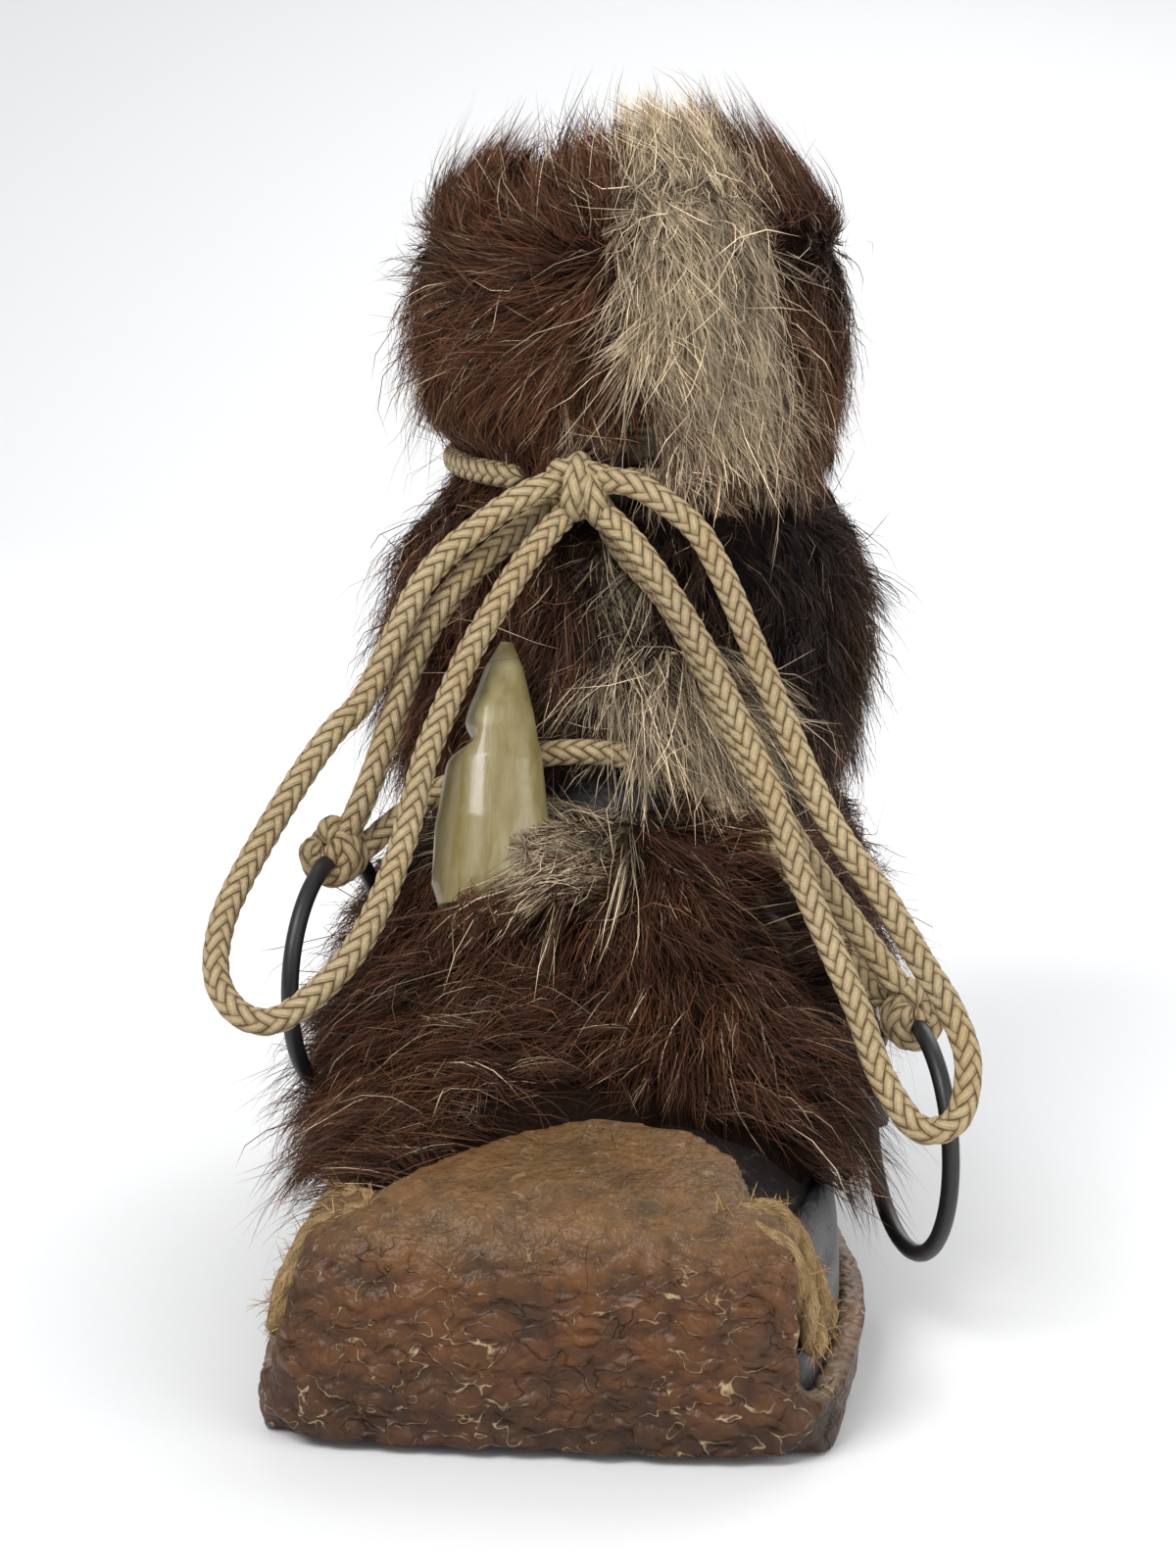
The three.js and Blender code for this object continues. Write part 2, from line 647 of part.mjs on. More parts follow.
function lashing(index) {
  const clear = foldRegion(clearance).intersect(evenBody(hideSeat + hideThickness + clearance));
  const rim = hideOutside.intersect(layerBetween(-farAway, rimHeight + clearance));
  return mainBody(lashingSolids()[index].subtract(union([hideInside, clear, rim])));
}

// Materials
function material(color, roughness, metalness = 0) {
  return new THREE.MeshStandardMaterial({ color, roughness, metalness });
}

const hide = material(0x9a5f3c, 0.55);
const blackLeather = material(0x16120f, 0.6);
const greyLeather = material(0x3c3b3c, 0.5);
const brownFur = material(0x4a332b, 0.9);
const cord = material(0xb7a17a, 0.9);
const jute = material(0xb08f57, 0.95);
const horn = material(0xcfc68e, 0.3);
const blackWire = material(0x0c0c0d, 0.35, 0.6);
const liningFelt = material(0x4b4239, 0.95);

const boot = new THREE.Group();

function addPiece(name, solid, finish) {
  const mesh = new THREE.Mesh(geometryOf(solid), finish);
  mesh.name = name;
  boot.add(mesh);
}

const keepOut = furKeepOut();
const knotRoom = bowKnot(clearance);
const outerKnotRoom = ringKnot(outerRing, clearance).add(ringSolid(outerRing, clearance));
const innerKnotRoom = ringKnot(innerRing, clearance).add(ringSolid(innerRing, clearance));

addPiece('outsole', outsole(), hide);
addPiece('rand', rand(), greyLeather);
addPiece('upper', upper(), blackLeather);
addPiece('insole', insole(), liningFelt);
addPiece('fur_foot', footFur(keepOut), brownFur);
addPiece('fur_shaft', shaftFur(keepOut), brownFur);
addPiece('fur_cuff', cuffFur(keepOut), brownFur);
addPiece('ankle_tie', ankleTie().subtract(knotRoom), cord);
addPiece('instep_tie', mainBody(instepTie().subtract(outerKnotRoom).subtract(innerKnotRoom)), cord);
addPiece('bow_knot', bowKnot(), cord);
addPiece('bow_loop_outer', looseCord(outerLoopRoute, [knotRoom]), cord);
addPiece('bow_loop_inner', looseCord(innerLoopRoute, [knotRoom]), cord);
addPiece('tail_outer', looseCord(outerTailRoute, [knotRoom, outerKnotRoom]), cord);
addPiece('tail_inner', looseCord(innerTailRoute, [knotRoom, innerKnotRoom]), cord);
addPiece('ring_outer', ringSolid(outerRing), blackWire);
addPiece('ring_inner', ringSolid(innerRing), blackWire);
addPiece('ring_knot_outer', ringKnot(outerRing).subtract(ringSolid(outerRing, clearance)), cord);
addPiece('ring_knot_inner', ringKnot(innerRing).subtract(ringSolid(innerRing, clearance)), cord);
addPiece('ring_strap_outer', strap(0, outerRing), greyLeather);
addPiece('ring_strap_inner', strap(1, innerRing), greyLeather);
addPiece('toe_lashing_inner', lashing(0), jute);
addPiece('toe_lashing_outer', lashing(1), jute);
addPiece('toggle', toggle(), horn);

export default boot;
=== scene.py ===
"""A right-foot fur boot dressed for the camera, as an add-on that is run as a script."""

import math

import bmesh
import bpy
import numpy as np
from bpy.props import FloatProperty, FloatVectorProperty, IntProperty, PointerProperty
from mathutils import Matrix, Vector
from mathutils.bvhtree import BVHTree
from mathutils.kdtree import KDTree


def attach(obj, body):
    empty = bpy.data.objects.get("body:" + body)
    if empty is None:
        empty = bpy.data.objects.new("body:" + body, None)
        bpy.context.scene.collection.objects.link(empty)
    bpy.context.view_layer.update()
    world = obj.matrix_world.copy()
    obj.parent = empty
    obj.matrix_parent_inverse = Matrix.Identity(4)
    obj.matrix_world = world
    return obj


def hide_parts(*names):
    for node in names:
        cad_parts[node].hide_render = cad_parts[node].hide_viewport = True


bl_info = {
    "name": "Fur boot",
    "version": (1, 0, 0),
    "blender": (4, 5, 0),
    "location": "View3D > Sidebar > Boot",
    "description": "Dresses a fur boot on a hide sole, with its cords, rings and toggle",
    "category": "Object",
}

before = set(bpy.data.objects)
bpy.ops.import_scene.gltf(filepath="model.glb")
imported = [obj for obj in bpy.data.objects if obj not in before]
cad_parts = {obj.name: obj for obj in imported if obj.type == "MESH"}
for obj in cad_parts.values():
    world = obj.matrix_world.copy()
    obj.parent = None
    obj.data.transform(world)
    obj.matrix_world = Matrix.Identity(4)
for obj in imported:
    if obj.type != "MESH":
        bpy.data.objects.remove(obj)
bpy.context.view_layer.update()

MM = 0.001

# The boot's own sizes in millimetres, as its solids have them
FOOT_LENGTH = 264.0
HALF_WIDTH = 56.0
INSTEP_HEIGHT = 100.0
SHAFT_HEIGHT = 252.0
SHAFT_RISE = SHAFT_HEIGHT - INSTEP_HEIGHT
FLOOR_OF_UPPER = 5.9
HIDE_OUTSIDE = 8.4
RAND_OUTSIDE = 2.5
RAND_HEIGHT = 40.0
RAND_WALL = 2.2
UPPER_WALL = 2.5
PILE_WALL = 0.8
FAR = 99.0
CLEARANCE = 0.3
TIE_HEIGHT = 0.742 * SHAFT_HEIGHT

SECTION_COLUMNS = (
    "top_along", "top_foot", "top_rise", "end_along", "end_foot", "end_rise",
    "inner", "outer", "widest", "squareness",
)
SECTIONS = np.array([
    [0.0, 0.33, 0, 0.0, 0.14, 0, 0.68, 0.74, 0.5, 3.0],
    [0.01, 0.41, 0, 0.004, -0.02, 0, 0.83, 0.89, 0.46, 3.2],
    [0.042, 0.47, 0, 0.022, -0.16, 0, 0.93, 0.96, 0.45, 3.0],
    [0.121, 0.51, 0, 0.121, -0.14, 0, 0.98, 1.0, 0.43, 2.7],
    [0.216, 0.6, 0, 0.22, -0.14, 0, 1.0, 1.02, 0.4, 2.5],
    [0.311, 0.77, 0, 0.318, -0.14, 0, 0.97, 1.01, 0.36, 2.3],
    [0.386, 0.97, 0, 0.417, -0.14, 0, 0.89, 0.96, 0.33, 2.2],
    [0.451, 1.0, 0.125, 0.508, -0.14, 0, 0.81, 0.9, 0.28, 2.4],
    [0.496, 1.0, 0.276, 0.606, -0.14, 0, 0.79, 0.86, 0.25, 2.5],
    [0.523, 1.0, 0.428, 0.72, -0.14, 0, 0.79, 0.84, 0.25, 2.6],
    [0.534, 1.0, 0.566, 0.868, -0.14, 0, 0.78, 0.82, 0.24, 2.7],
    [0.538, 1.0, 0.658, 0.962, 0.03, 0, 0.78, 0.81, 0.3, 2.6],
    [0.538, 1.0, 0.717, 0.994, 0.34, 0, 0.77, 0.79, 0.38, 2.5],
    [0.534, 1.0, 0.776, 0.989, 0.75, 0, 0.76, 0.78, 0.44, 2.3],
    [0.53, 1.0, 0.829, 0.97, 1.0, 0.12, 0.74, 0.75, 0.48, 2.2],
    [0.526, 1.0, 0.888, 0.951, 1.0, 0.38, 0.72, 0.73, 0.5, 2.1],
    [0.526, 1.0, 0.941, 0.939, 1.0, 0.66, 0.72, 0.74, 0.5, 2.1],
    [0.526, 1.0, 0.993, 0.936, 1.0, 0.95, 0.73, 0.75, 0.5, 2.1],
    [0.526, 1.0, 1.15, 0.936, 1.0, 1.15, 0.75, 0.77, 0.5, 2.1],
])
LAST_SECTION = len(SECTIONS) - 1

# Panels of fur: where the pile swells, how deep it is and how much of that it keeps at the front
PANELS = {
    "foot": {"low": 0.05, "high": 0.5, "pile": 20.0, "front": 0.7},
    "shaft": {"low": 0.42, "high": 0.76, "pile": 21.0, "front": 0.8},
    "cuff": {"low": 0.73, "high": 1.06, "pile": 15.0, "front": 1.0},
}

# Middle lines of the cords, in millimetres
ROUTES = {
    "bow_loop_outer": [
        (-9, -4, 188), (-18, -10, 186), (-30, -14, 178), (-42, -20, 166), (-54, -30, 141),
        (-61, -36, 133), (-69, -44, 121), (-79, -58, 102), (-82, -66, 92), (-81, -73, 83),
        (-75, -78, 77), (-67, -79, 76), (-58, -77, 82), (-50, -73, 91), (-45, -65, 101),
        (-41, -56, 114), (-38, -46, 129), (-34, -37, 141), (-30, -30, 151), (-24, -24, 162),
        (-17, -15, 173), (-9, -5, 182),
    ],
    "bow_loop_inner": [
        (-5, -5, 188), (6, -11, 188), (19, -14, 180), (26, -19, 171), (34, -28, 156),
        (43, -38, 138), (54, -50, 118), (67, -62, 103), (75, -71, 92), (82, -79, 83),
        (86, -85, 73), (84, -90, 62), (76, -92, 60), (68, -87, 69), (62, -78, 82),
        (56, -70, 93), (48, -60, 108), (41, -49, 123), (32, -38, 139), (22, -27, 155),
        (8, -16, 173), (-3, -6, 182),
    ],
    "tail_outer": [
        (-8, 0, 187), (-19, -3, 178), (-28, -9, 171), (-36, -15, 163), (-43, -20, 151),
        (-48, -28, 136), (-52, -34, 123), (-56, -37, 113), (-59, -38, 107),
    ],
    "tail_inner": [
        (-6, 0, 187), (2, 0, 172), (14, -11, 161), (24, -18, 145), (34, -28, 127),
        (46, -38, 110), (58, -45, 95), (67, -49, 84), (71, -49, 78),
    ],
    "instep_tie": [
        (-57, -36, 103), (-49, -31, 110), (-39, -27, 117), (-26, -24, 123), (-12, -20, 126),
        (5, -17, 125), (23, -18, 118), (42, -24, 103), (54, -31, 88), (63, -39, 78),
        (68, -44, 75),
    ],
}
CORD_RADIUS = 3.0
BRAID_STRANDS = 6
BRAID_PITCH = 4.2
TWINE_RADIUS = 2.75
TWINE_PLIES = 3
TWINE_PITCH = 9.0
TWINE_RELIEF = 0.9

# What each free cord ends in, and the knots that go with it
FREE_CORDS = {
    "bow_loop_outer": ("object", ["bow_knot"]),
    "bow_loop_inner": ("object", []),
    "tail_outer": ("knot", ["ring_knot_outer"]),
    "tail_inner": ("knot", ["ring_knot_inner"]),
}

# Fineness of the tubes: faces around, and millimetres from one ring of faces to the next
TUBE_SIDES = 20
CORD_STEP = 0.9
KNOT_STEP = 0.8
TWINE_STEP = 0.6
KNOT_PLACE = (-7, -2, 186)
RING_RADIUS = 27.0
WIRE_RADIUS = 2.0
RINGS = {
    "ring_outer": {"place": (-60.5, -38, 77), "heading": (-0.22, -0.97, 0)},
    "ring_inner": {"place": (73, -48, 45), "heading": (0.36, -0.93, 0)},
}
TOGGLE_TIP = (-24, -15, 152)
TOGGLE_HEEL = (-23.5, -47, 95)
TOGGLE_LENGTH = 64.0

# The toggle along its length: place, width, depth and bow, all as shares of the length
TOGGLE_STATIONS = (
    (0.0, 0.36, 0.2, 0.0), (0.08, 0.42, 0.25, 0.0), (0.3, 0.41, 0.26, 0.02),
    (0.52, 0.35, 0.24, 0.04), (0.72, 0.26, 0.19, 0.04), (0.9, 0.16, 0.13, 0.02),
    (1.0, 0.07, 0.06, 0.0),
)
TOGGLE_ROUNDING = 0.045

# Turns of twine at each side of the fold, as section and share of half a turn round the body
LASHING_TURNS = (
    ((1.9, 0.17), (2.05, 0.3), (1.85, 0.47)),
    ((1.9, 0.17), (2.6, 0.27), (2.35, 0.45)),
)
TWINE_FIBRES = 520
FIBRE_WIDTH = 0.22
WIRE_SIDES = 14
RING_STEPS = 96
STRAP_VOXEL = 0.9


# Settings that a user may change

def colour_setting(name, default, description):
    return FloatVectorProperty(name=name, description=description, subtype="COLOR", size=3,
                               default=default, min=0, max=1)


class BootSettings(bpy.types.PropertyGroup):
    """Sizes and colours of the boot's finish"""

    hide_voxel: FloatProperty(
        name="Hide grain", description="Spacing of the hide's modelled surface in millimetres",
        default=1.5, min=0.8, max=4)
    crinkle: FloatProperty(
        name="Crinkle", description="Height of the hide's crinkles in millimetres",
        default=1.7, min=0, max=3)
    under_hairs: IntProperty(
        name="Underhairs", description="Short hairs in each of the six coats of fur", default=19000,
        min=500)
    long_hairs: IntProperty(
        name="Long hairs", description="Long hairs in each of the six coats of fur", default=7500,
        min=500)
    hair_width: FloatProperty(
        name="Hair width", description="Width of a hair in millimetres", default=0.27, min=0.1)
    braid_height: FloatProperty(
        name="Braid", description="Height of the cord's braid in millimetres", default=0.5)
    hide_colour: colour_setting("Hide", (0.106, 0.040, 0.007), "Hide on the toe's front")
    hide_top_colour: colour_setting(
        "Hide top", (0.16, 0.085, 0.028), "Sandy hide on the toe's flap")
    hide_edge_colour: colour_setting("Hide edge", (0.33, 0.22, 0.12), "Cut edge of the hide")
    fur_colour: colour_setting("Fur", (0.078, 0.03, 0.013), "Reddish brown of most of the fur")
    dark_fur_colour: colour_setting(
        "Dark fur", (0.026, 0.013, 0.008), "Dark brown of the fur's shaft")
    blond_colour: colour_setting(
        "Blond fur", (0.58, 0.47, 0.315), "Pale stripe and tufts of the fur")
    cord_colour: colour_setting("Cord", (0.58, 0.46, 0.28), "Braided cotton cord")
    jute_colour: colour_setting("Jute", (0.56, 0.39, 0.20), "Twine of the toe lashings")
    horn_colour: colour_setting("Horn", (0.25, 0.205, 0.095), "Polished horn of the toggle")
    leather_colour: colour_setting(
        "Leather", (0.028, 0.028, 0.031), "Smooth leather above the hide")


def settings():
    return bpy.context.scene.boot


# Numbers along a surface

def clamp(value, low, high):
    return np.minimum(high, np.maximum(low, value))


def smooth(value, low, high):
    t = clamp((value - low) / (high - low), 0, 1)
    return t * t * (3 - 2 * t)


def mix(a, b, t):
    return a + (b - a) * t


def rows_of(vector):
    return np.asarray(vector, dtype=float)


def unit(vectors):
    length = np.linalg.norm(vectors, axis=-1, keepdims=True)
    return vectors / np.maximum(length, 1e-9)


def dots(a, b):
    return (a * b).sum(axis=-1)


def lattice(cells, seed):
    """Even but irregular values from 0 to 1, one for each whole-number cell"""
    mixed = cells @ np.array([73856093, 19349663, 83492791]) + seed * 2654435761
    mixed = (mixed ^ (mixed >> 13)) * 1274126177
    mixed = mixed ^ (mixed >> 16)
    return (mixed & 0xFFFFFF) / 0xFFFFFF


def soft_noise(points, size, seed):
    """Smooth noise from -1 to 1 whose features have a size in the points' unit"""
    scaled = points / size
    base = np.floor(scaled).astype(np.int64)
    part = scaled - base
    part = part * part * (3 - 2 * part)
    total = np.zeros(len(points))
    for corner in range(8):
        step = np.array([corner & 1, (corner >> 1) & 1, corner >> 2])
        weight = np.prod(np.where(step, part, 1 - part), axis=1)
        total += weight * lattice(base + step, seed)
    return 2 * total - 1


def cell_noise(points, size, seed):
    """Distances to the nearest and next nearest cell middle, as shares of a cell"""
    scaled = points / size
    base = np.floor(scaled).astype(np.int64)
    nearest = np.full(len(points), 9.0)
    second = np.full(len(points), 9.0)
    for corner in range(27):
        cell = base + np.array([corner % 3, corner // 3 % 3, corner // 9]) - 1
        jitter = np.stack([lattice(cell, seed + axis) for axis in range(3)], axis=1)
        distance = np.linalg.norm(cell + jitter - scaled, axis=1)
        second = np.minimum(second, np.maximum(distance, nearest))
        nearest = np.minimum(nearest, distance)
    return nearest, second


def spline(before, start, end, after, t):
    """Smooth way from start to end, as t goes from 0 to 1"""
    bend = 2 * before - 5 * start + 4 * end - after
    twist = 3 * start - before - 3 * end + after
    return start + 0.5 * t * (end - before + t * (bend + t * twist))


# The boot's body, from toe to collar

def columns_at(u):
    row = clamp(np.floor(u), 0, LAST_SECTION - 1).astype(int)
    t = (u - row)[:, None]
    before = SECTIONS[np.maximum(row - 1, 0)]
    start = SECTIONS[row]
    end = SECTIONS[row + 1]
    after = SECTIONS[np.minimum(row + 2, LAST_SECTION)]
    return dict(zip(SECTION_COLUMNS, spline(before, start, end, after, t).T))


def signed_power(value, power):
    return np.sign(value) * np.abs(value) ** power


def along_to_y(share):
    return (share - 0.5) * FOOT_LENGTH


def body_points(u, angle):
    at = columns_at(u)
    power = 2 / at["squareness"]
    across = signed_power(np.sin(angle), power)
    upward = signed_power(np.cos(angle), power)
    widest = at["widest"]
    share = np.where(upward > 0, widest + (1 - widest) * upward, widest * (1 + upward))
    top = at["top_foot"] * INSTEP_HEIGHT + at["top_rise"] * SHAFT_RISE
    end = at["end_foot"] * INSTEP_HEIGHT + at["end_rise"] * SHAFT_RISE
    side = np.where(across > 0, at["inner"], at["outer"])
    y = mix(along_to_y(at["end_along"]), along_to_y(at["top_along"]), share)
    return np.stack([across * HALF_WIDTH * side, y, mix(end, top, share)], axis=1)


def body_normals(u, angle, step=0.02):
    low = clamp(u - step, 0, LAST_SECTION)
    high = clamp(u + step, 0, LAST_SECTION)
    along = body_points(high, angle) - body_points(low, angle)
    around = body_points(u, angle + step) - body_points(u, angle - step)
    return unit(np.cross(around, along))


def form_points(u, angle, grow):
    """Points of the body moved out by grow; u below 0 runs over the toe cap to its middle"""
    on = np.maximum(u, 0)
    rim = body_points(on, angle) + body_normals(on, angle) * grow[:, None]
    ends = body_points(np.zeros(2), np.array([0, math.pi]))
    middle = ends.mean(axis=0) - np.stack([0 * grow, grow, 0 * grow], axis=1)
    out = clamp(1 + u, 0, 1)[:, None]
    cap = mix(middle, rim, out)
    cap[:, 1] = mix(middle[:, 1], rim[:, 1], out[:, 0] ** 2)
    return np.where(out < 1, cap, rim)


# Meshes

def in_scene(name, data):
    thing = bpy.data.objects.new(name, data)
    bpy.context.scene.collection.objects.link(thing)
    return thing


def new_piece(name, mesh, slot, finish, *nodes):
    piece = in_scene(name, mesh)
    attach(piece, "root")
    if nodes:
        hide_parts(*nodes)
    mesh.materials.clear()
    mesh.materials.append(finish)
    return piece


def mesh_of(bm, name):
    mesh = bpy.data.meshes.new(name)
    bm.to_mesh(mesh)
    bm.free()
    mesh.shade_smooth()
    return mesh


def edited(mesh, work):
    """The mesh after work(bm), shaded smooth"""
    bm = bmesh.new()
    bm.from_mesh(mesh)
    work(bm)
    bm.to_mesh(mesh)
    bm.free()
    mesh.shade_smooth()
    return mesh


def read(items, key, width, kind=float):
    """One property of all of a mesh's vertices or corners, a row for each"""
    flat = np.empty(width * len(items), dtype=kind)
    items.foreach_get(key, flat)
    return flat.reshape(-1, width)


def points_of(mesh):
    return read(mesh.vertices, "co", 3)


def corners_of(mesh):
    return read(mesh.loops, "vertex_index", 1, np.int32)[:, 0]


def set_points(mesh, points):
    mesh.vertices.foreach_set("co", np.ascontiguousarray(points, dtype=np.float32).ravel())
    mesh.update()


def set_tone(mesh, colours):
    tone = mesh.color_attributes.new(name="tone", type="FLOAT_COLOR", domain="POINT")
    full = np.ones((len(mesh.vertices), 4), dtype=np.float32)
    full[:, :3] = colours
    tone.data.foreach_set("color", full.ravel())


def grid_mesh(name, across, along, place):
    """A grid bent by place(x, y), with x and y from 0 to 1"""
    bm = bmesh.new()
    bmesh.ops.create_grid(bm, x_segments=across, y_segments=along, size=0.5)
    mesh = mesh_of(bm, name)
    flat = points_of(mesh) + 0.5
    uv = mesh.uv_layers.new(name="UVMap")
    uv.data.foreach_set("uv", flat[corners_of(mesh), :2].astype(np.float32).ravel())
    set_points(mesh, place(flat[:, 0], flat[:, 1]) * MM)
    return mesh


def welded(mesh, distance=1e-6):
    return edited(mesh, lambda bm: bmesh.ops.remove_doubles(bm, verts=bm.verts, dist=distance))


def faced_out(mesh):
    return edited(mesh, lambda bm: bmesh.ops.recalc_face_normals(bm, faces=bm.faces))


def body_mesh(name, around, rows, low, high, grow_at):
    """The body from section low to high, moved out by grow_at(u, angle)"""
    def place(x, y):
        u = mix(low, high, y)
        angle = 2 * math.pi * x
        return form_points(u, angle, grow_at(np.maximum(u, 0), angle))
    return welded(grid_mesh(name, around, rows, place))


def cut(mesh, point, normal):
    """Takes away what lies beyond a plane"""
    return edited(mesh, lambda bm: bmesh.ops.bisect_plane(
        bm, geom=bm.verts[:] + bm.edges[:] + bm.faces[:], dist=1e-7,
        plane_co=Vector(point) * MM, plane_no=normal, clear_outer=True))


def joined(name, meshes):
    bm = bmesh.new()
    for mesh in meshes:
        bm.from_mesh(mesh)
    return mesh_of(bm, name)


def tree_of(mesh):
    return BVHTree.FromPolygons(
        [vert.co for vert in mesh.vertices], [face.vertices for face in mesh.polygons])


# Shader maths

class Value:
    """A shader socket that Python's operators turn into Math nodes"""

    def __init__(self, shader, socket):
        self.shader = shader
        self.socket = socket

    def maths(self, operation, *others):
        values = [other.socket if isinstance(other, Value) else other for other in others]
        inputs = dict(enumerate([self.socket, *values]))
        return self.shader.node("ShaderNodeMath", {"operation": operation}, inputs)

    def __add__(self, other):
        return self.maths("ADD", other)

    __radd__ = __add__

    def __mul__(self, other):
        return self.maths("MULTIPLY", other)

    __rmul__ = __mul__

    def __sub__(self, other):
        return self.maths("SUBTRACT", other)

    def __rsub__(self, other):
        return (self * -1) + other

    def power(self, other):
        return self.maths("POWER", other)

    def clamped(self, low, high):
        return self.shader.node(
            "ShaderNodeMapRange", {"interpolation_type": "SMOOTHSTEP"},
            {0: self.socket, 1: low, 2: high, 3: 0.0, 4: 1.0})


class Shader:
    """One material with a Principled surface"""

    def __init__(self, name):
        self.material = bpy.data.materials.new(name)
        self.material.use_nodes = True
        self.tree = self.material.node_tree
        self.surface = self.tree.nodes["Principled BSDF"]

    def node(self, kind, options=None, inputs=None, output=0):
        made = self.tree.nodes.new(kind)
        for key, value in (options or {}).items():
            setattr(made, key, value)
        for key, value in (inputs or {}).items():
            self.feed(made.inputs[key], value)
        return Value(self, made.outputs[output])

    def feed(self, socket, value):
        if isinstance(value, Value):
            value = value.socket
        if isinstance(value, bpy.types.NodeSocket):
            self.tree.links.new(value, socket)
        elif isinstance(value, (tuple, list)) and len(value) == 3 and socket.type == "RGBA":
            socket.default_value = (*value, 1)
        else:
            socket.default_value = value

    def set(self, **values):
        for key, value in values.items():
            self.feed(self.surface.inputs[key.replace("_", " ")], value)

    def coordinates(self, kind="Object"):
        return self.node("ShaderNodeTexCoord", output=kind)

    def scaled(self, coordinates, scale):
        return self.node("ShaderNodeVectorMath", {"operation": "MULTIPLY"},
                         {0: coordinates, 1: scale})

    def attribute(self, name):
        return self.node("ShaderNodeAttribute", {"attribute_name": name}, output="Color")

    def noise(self, coordinates, scale, detail=3.0, roughness=0.55, distortion=0.0):
        return self.node("ShaderNodeTexNoise", None, {
            "Vector": coordinates, "Scale": scale, "Detail": detail, "Roughness": roughness,
            "Distortion": distortion})

    def cells(self, coordinates, scale, feature="F1", output="Distance"):
        return self.node("ShaderNodeTexVoronoi", {"feature": feature},
                         {"Vector": coordinates, "Scale": scale}, output)

    def blend(self, factor, a, b, mode="MIX"):
        return self.node("ShaderNodeMix", {"data_type": "RGBA", "blend_type": mode},
                         {0: factor, 6: a, 7: b}, 2)

    def multiplied(self, a, b):
        return self.blend(1.0, a, b, "MULTIPLY")

    def tinted(self, base, factor, tint):
        """A colour that is multiplied by a tint where factor is 1"""
        return self.blend(factor, base, self.multiplied(base, tint))

    def part(self, coordinates, axis):
        return self.node("ShaderNodeSeparateXYZ", None, {"Vector": coordinates}, axis)

    def ridge(self, value):
        """0 along the middle line of a noise and 1 away from it"""
        return (value * 2 - 1).maths("ABSOLUTE")

    def bump(self, height, distance, strength=1.0, normal=None):
        inputs = {"Height": height, "Distance": distance, "Strength": strength}
        if normal:
            inputs["Normal"] = normal
        return self.node("ShaderNodeBump", None, inputs)

    def warped(self, coordinates, scale, amount):
        """Coordinates pushed about by noise, so that cells and lines aren't straight"""
        push = self.node("ShaderNodeTexNoise", None,
                         {"Vector": coordinates, "Scale": scale, "Detail": 2.0}, "Color")
        centred = self.node("ShaderNodeVectorMath", {"operation": "SUBTRACT"},
                            {0: push, 1: (0.5, 0.5, 0.5)})
        return self.node("ShaderNodeVectorMath", {"operation": "MULTIPLY_ADD"},
                         {0: centred, 1: (amount, amount, amount), 2: coordinates})


def colour(name):
    return tuple(getattr(settings(), name))


def shaded(rgb, share):
    """A colour times one number, or times three"""
    return tuple((np.array(rgb) * share).tolist())


# Materials

def hide_finish():
    shader = Shader("hide_finish")
    place = shader.coordinates()
    tone = shader.attribute("tone")
    bent = shader.warped(place, 120.0, 0.008)
    flat = shader.scaled(bent, (0.75, 1.0, 1.25))
    lines = shader.cells(flat, 200.0, "DISTANCE_TO_EDGE")
    pillows = shader.cells(flat, 200.0)
    folds = shader.ridge(shader.noise(flat, 130.0, 1.0, 0.5, 0.6))
    crest = 1 - folds.clamped(0.0, 0.04)
    patches = shader.noise(place, 60.0, 3.0, 0.6).clamped(0.38, 0.53)
    flakes = crest * patches * shader.noise(place, 330.0, 2.0, 0.5).clamped(0.37, 0.52)
    grain = shader.noise(place, 700.0, 3.0, 0.6)
    blotches = shader.noise(place, 50.0, 3.0, 0.6)
    base = shader.blend(blotches.clamped(0.35, 0.65), shader.multiplied(tone, (1.12, 1.0, 0.9)),
                        shader.multiplied(tone, (0.8, 0.8, 0.82)))
    front = 1 - shader.part(place, "Z").clamped(0.03, 0.052)
    # Painted shade darkens the crease lines between the bubbles on the lower front
    base = shader.tinted(base, (1 - lines.clamped(0.0, 0.12)) * 0.42 * front, (0.5, 0.42, 0.36))
    base = shader.tinted(base, grain.clamped(0.4, 0.75) * 0.3, (0.62, 0.6, 0.58))
    base = shader.blend(flakes * (0.25 + front * 0.6), base, (0.50, 0.36, 0.2))
    creases = (lines.clamped(0.0, 0.5) * 0.7 - pillows * 0.6 + crest * 0.7) * (0.25 + front * 0.75)
    coarse = shader.bump(creases, 0.0011, 0.9)
    sand = shader.noise(place, 480.0, 2.0, 0.55) * (1 - front * 0.75)
    relief = shader.bump(sand * 1.6 + grain * 0.35, 0.0008, 0.8, coarse)
    base = shader.tinted(base, sand.clamped(0.42, 0.62) * 0.45, (0.6, 0.56, 0.5))
    shader.set(Base_Color=base, Roughness=0.33 + grain * 0.2, Normal=relief,
               Specular_IOR_Level=0.38)
    return shader.material


def leather_finish(name, rgb, roughness, grain_height):
    shader = Shader(name)
    place = shader.coordinates()
    pores = shader.cells(place, 900.0)
    clouds = shader.noise(place, 40.0, 4.0, 0.6)
    streaky = shader.scaled(place, (1.0, 1.0, 3.0))
    scuffs = shader.noise(streaky, 120.0, 5.0, 0.7).clamped(0.56, 0.72)
    base = shader.blend(clouds.clamped(0.3, 0.7), rgb, shaded(rgb, 0.55))
    base = shader.blend(scuffs * 0.35, base, tuple(0.12 + part for part in rgb))
    relief = shader.bump(pores + clouds * 0.5, grain_height, 0.6)
    shader.set(Base_Color=base, Roughness=roughness + scuffs * 0.25, Normal=relief,
               Specular_IOR_Level=0.32)
    return shader.material


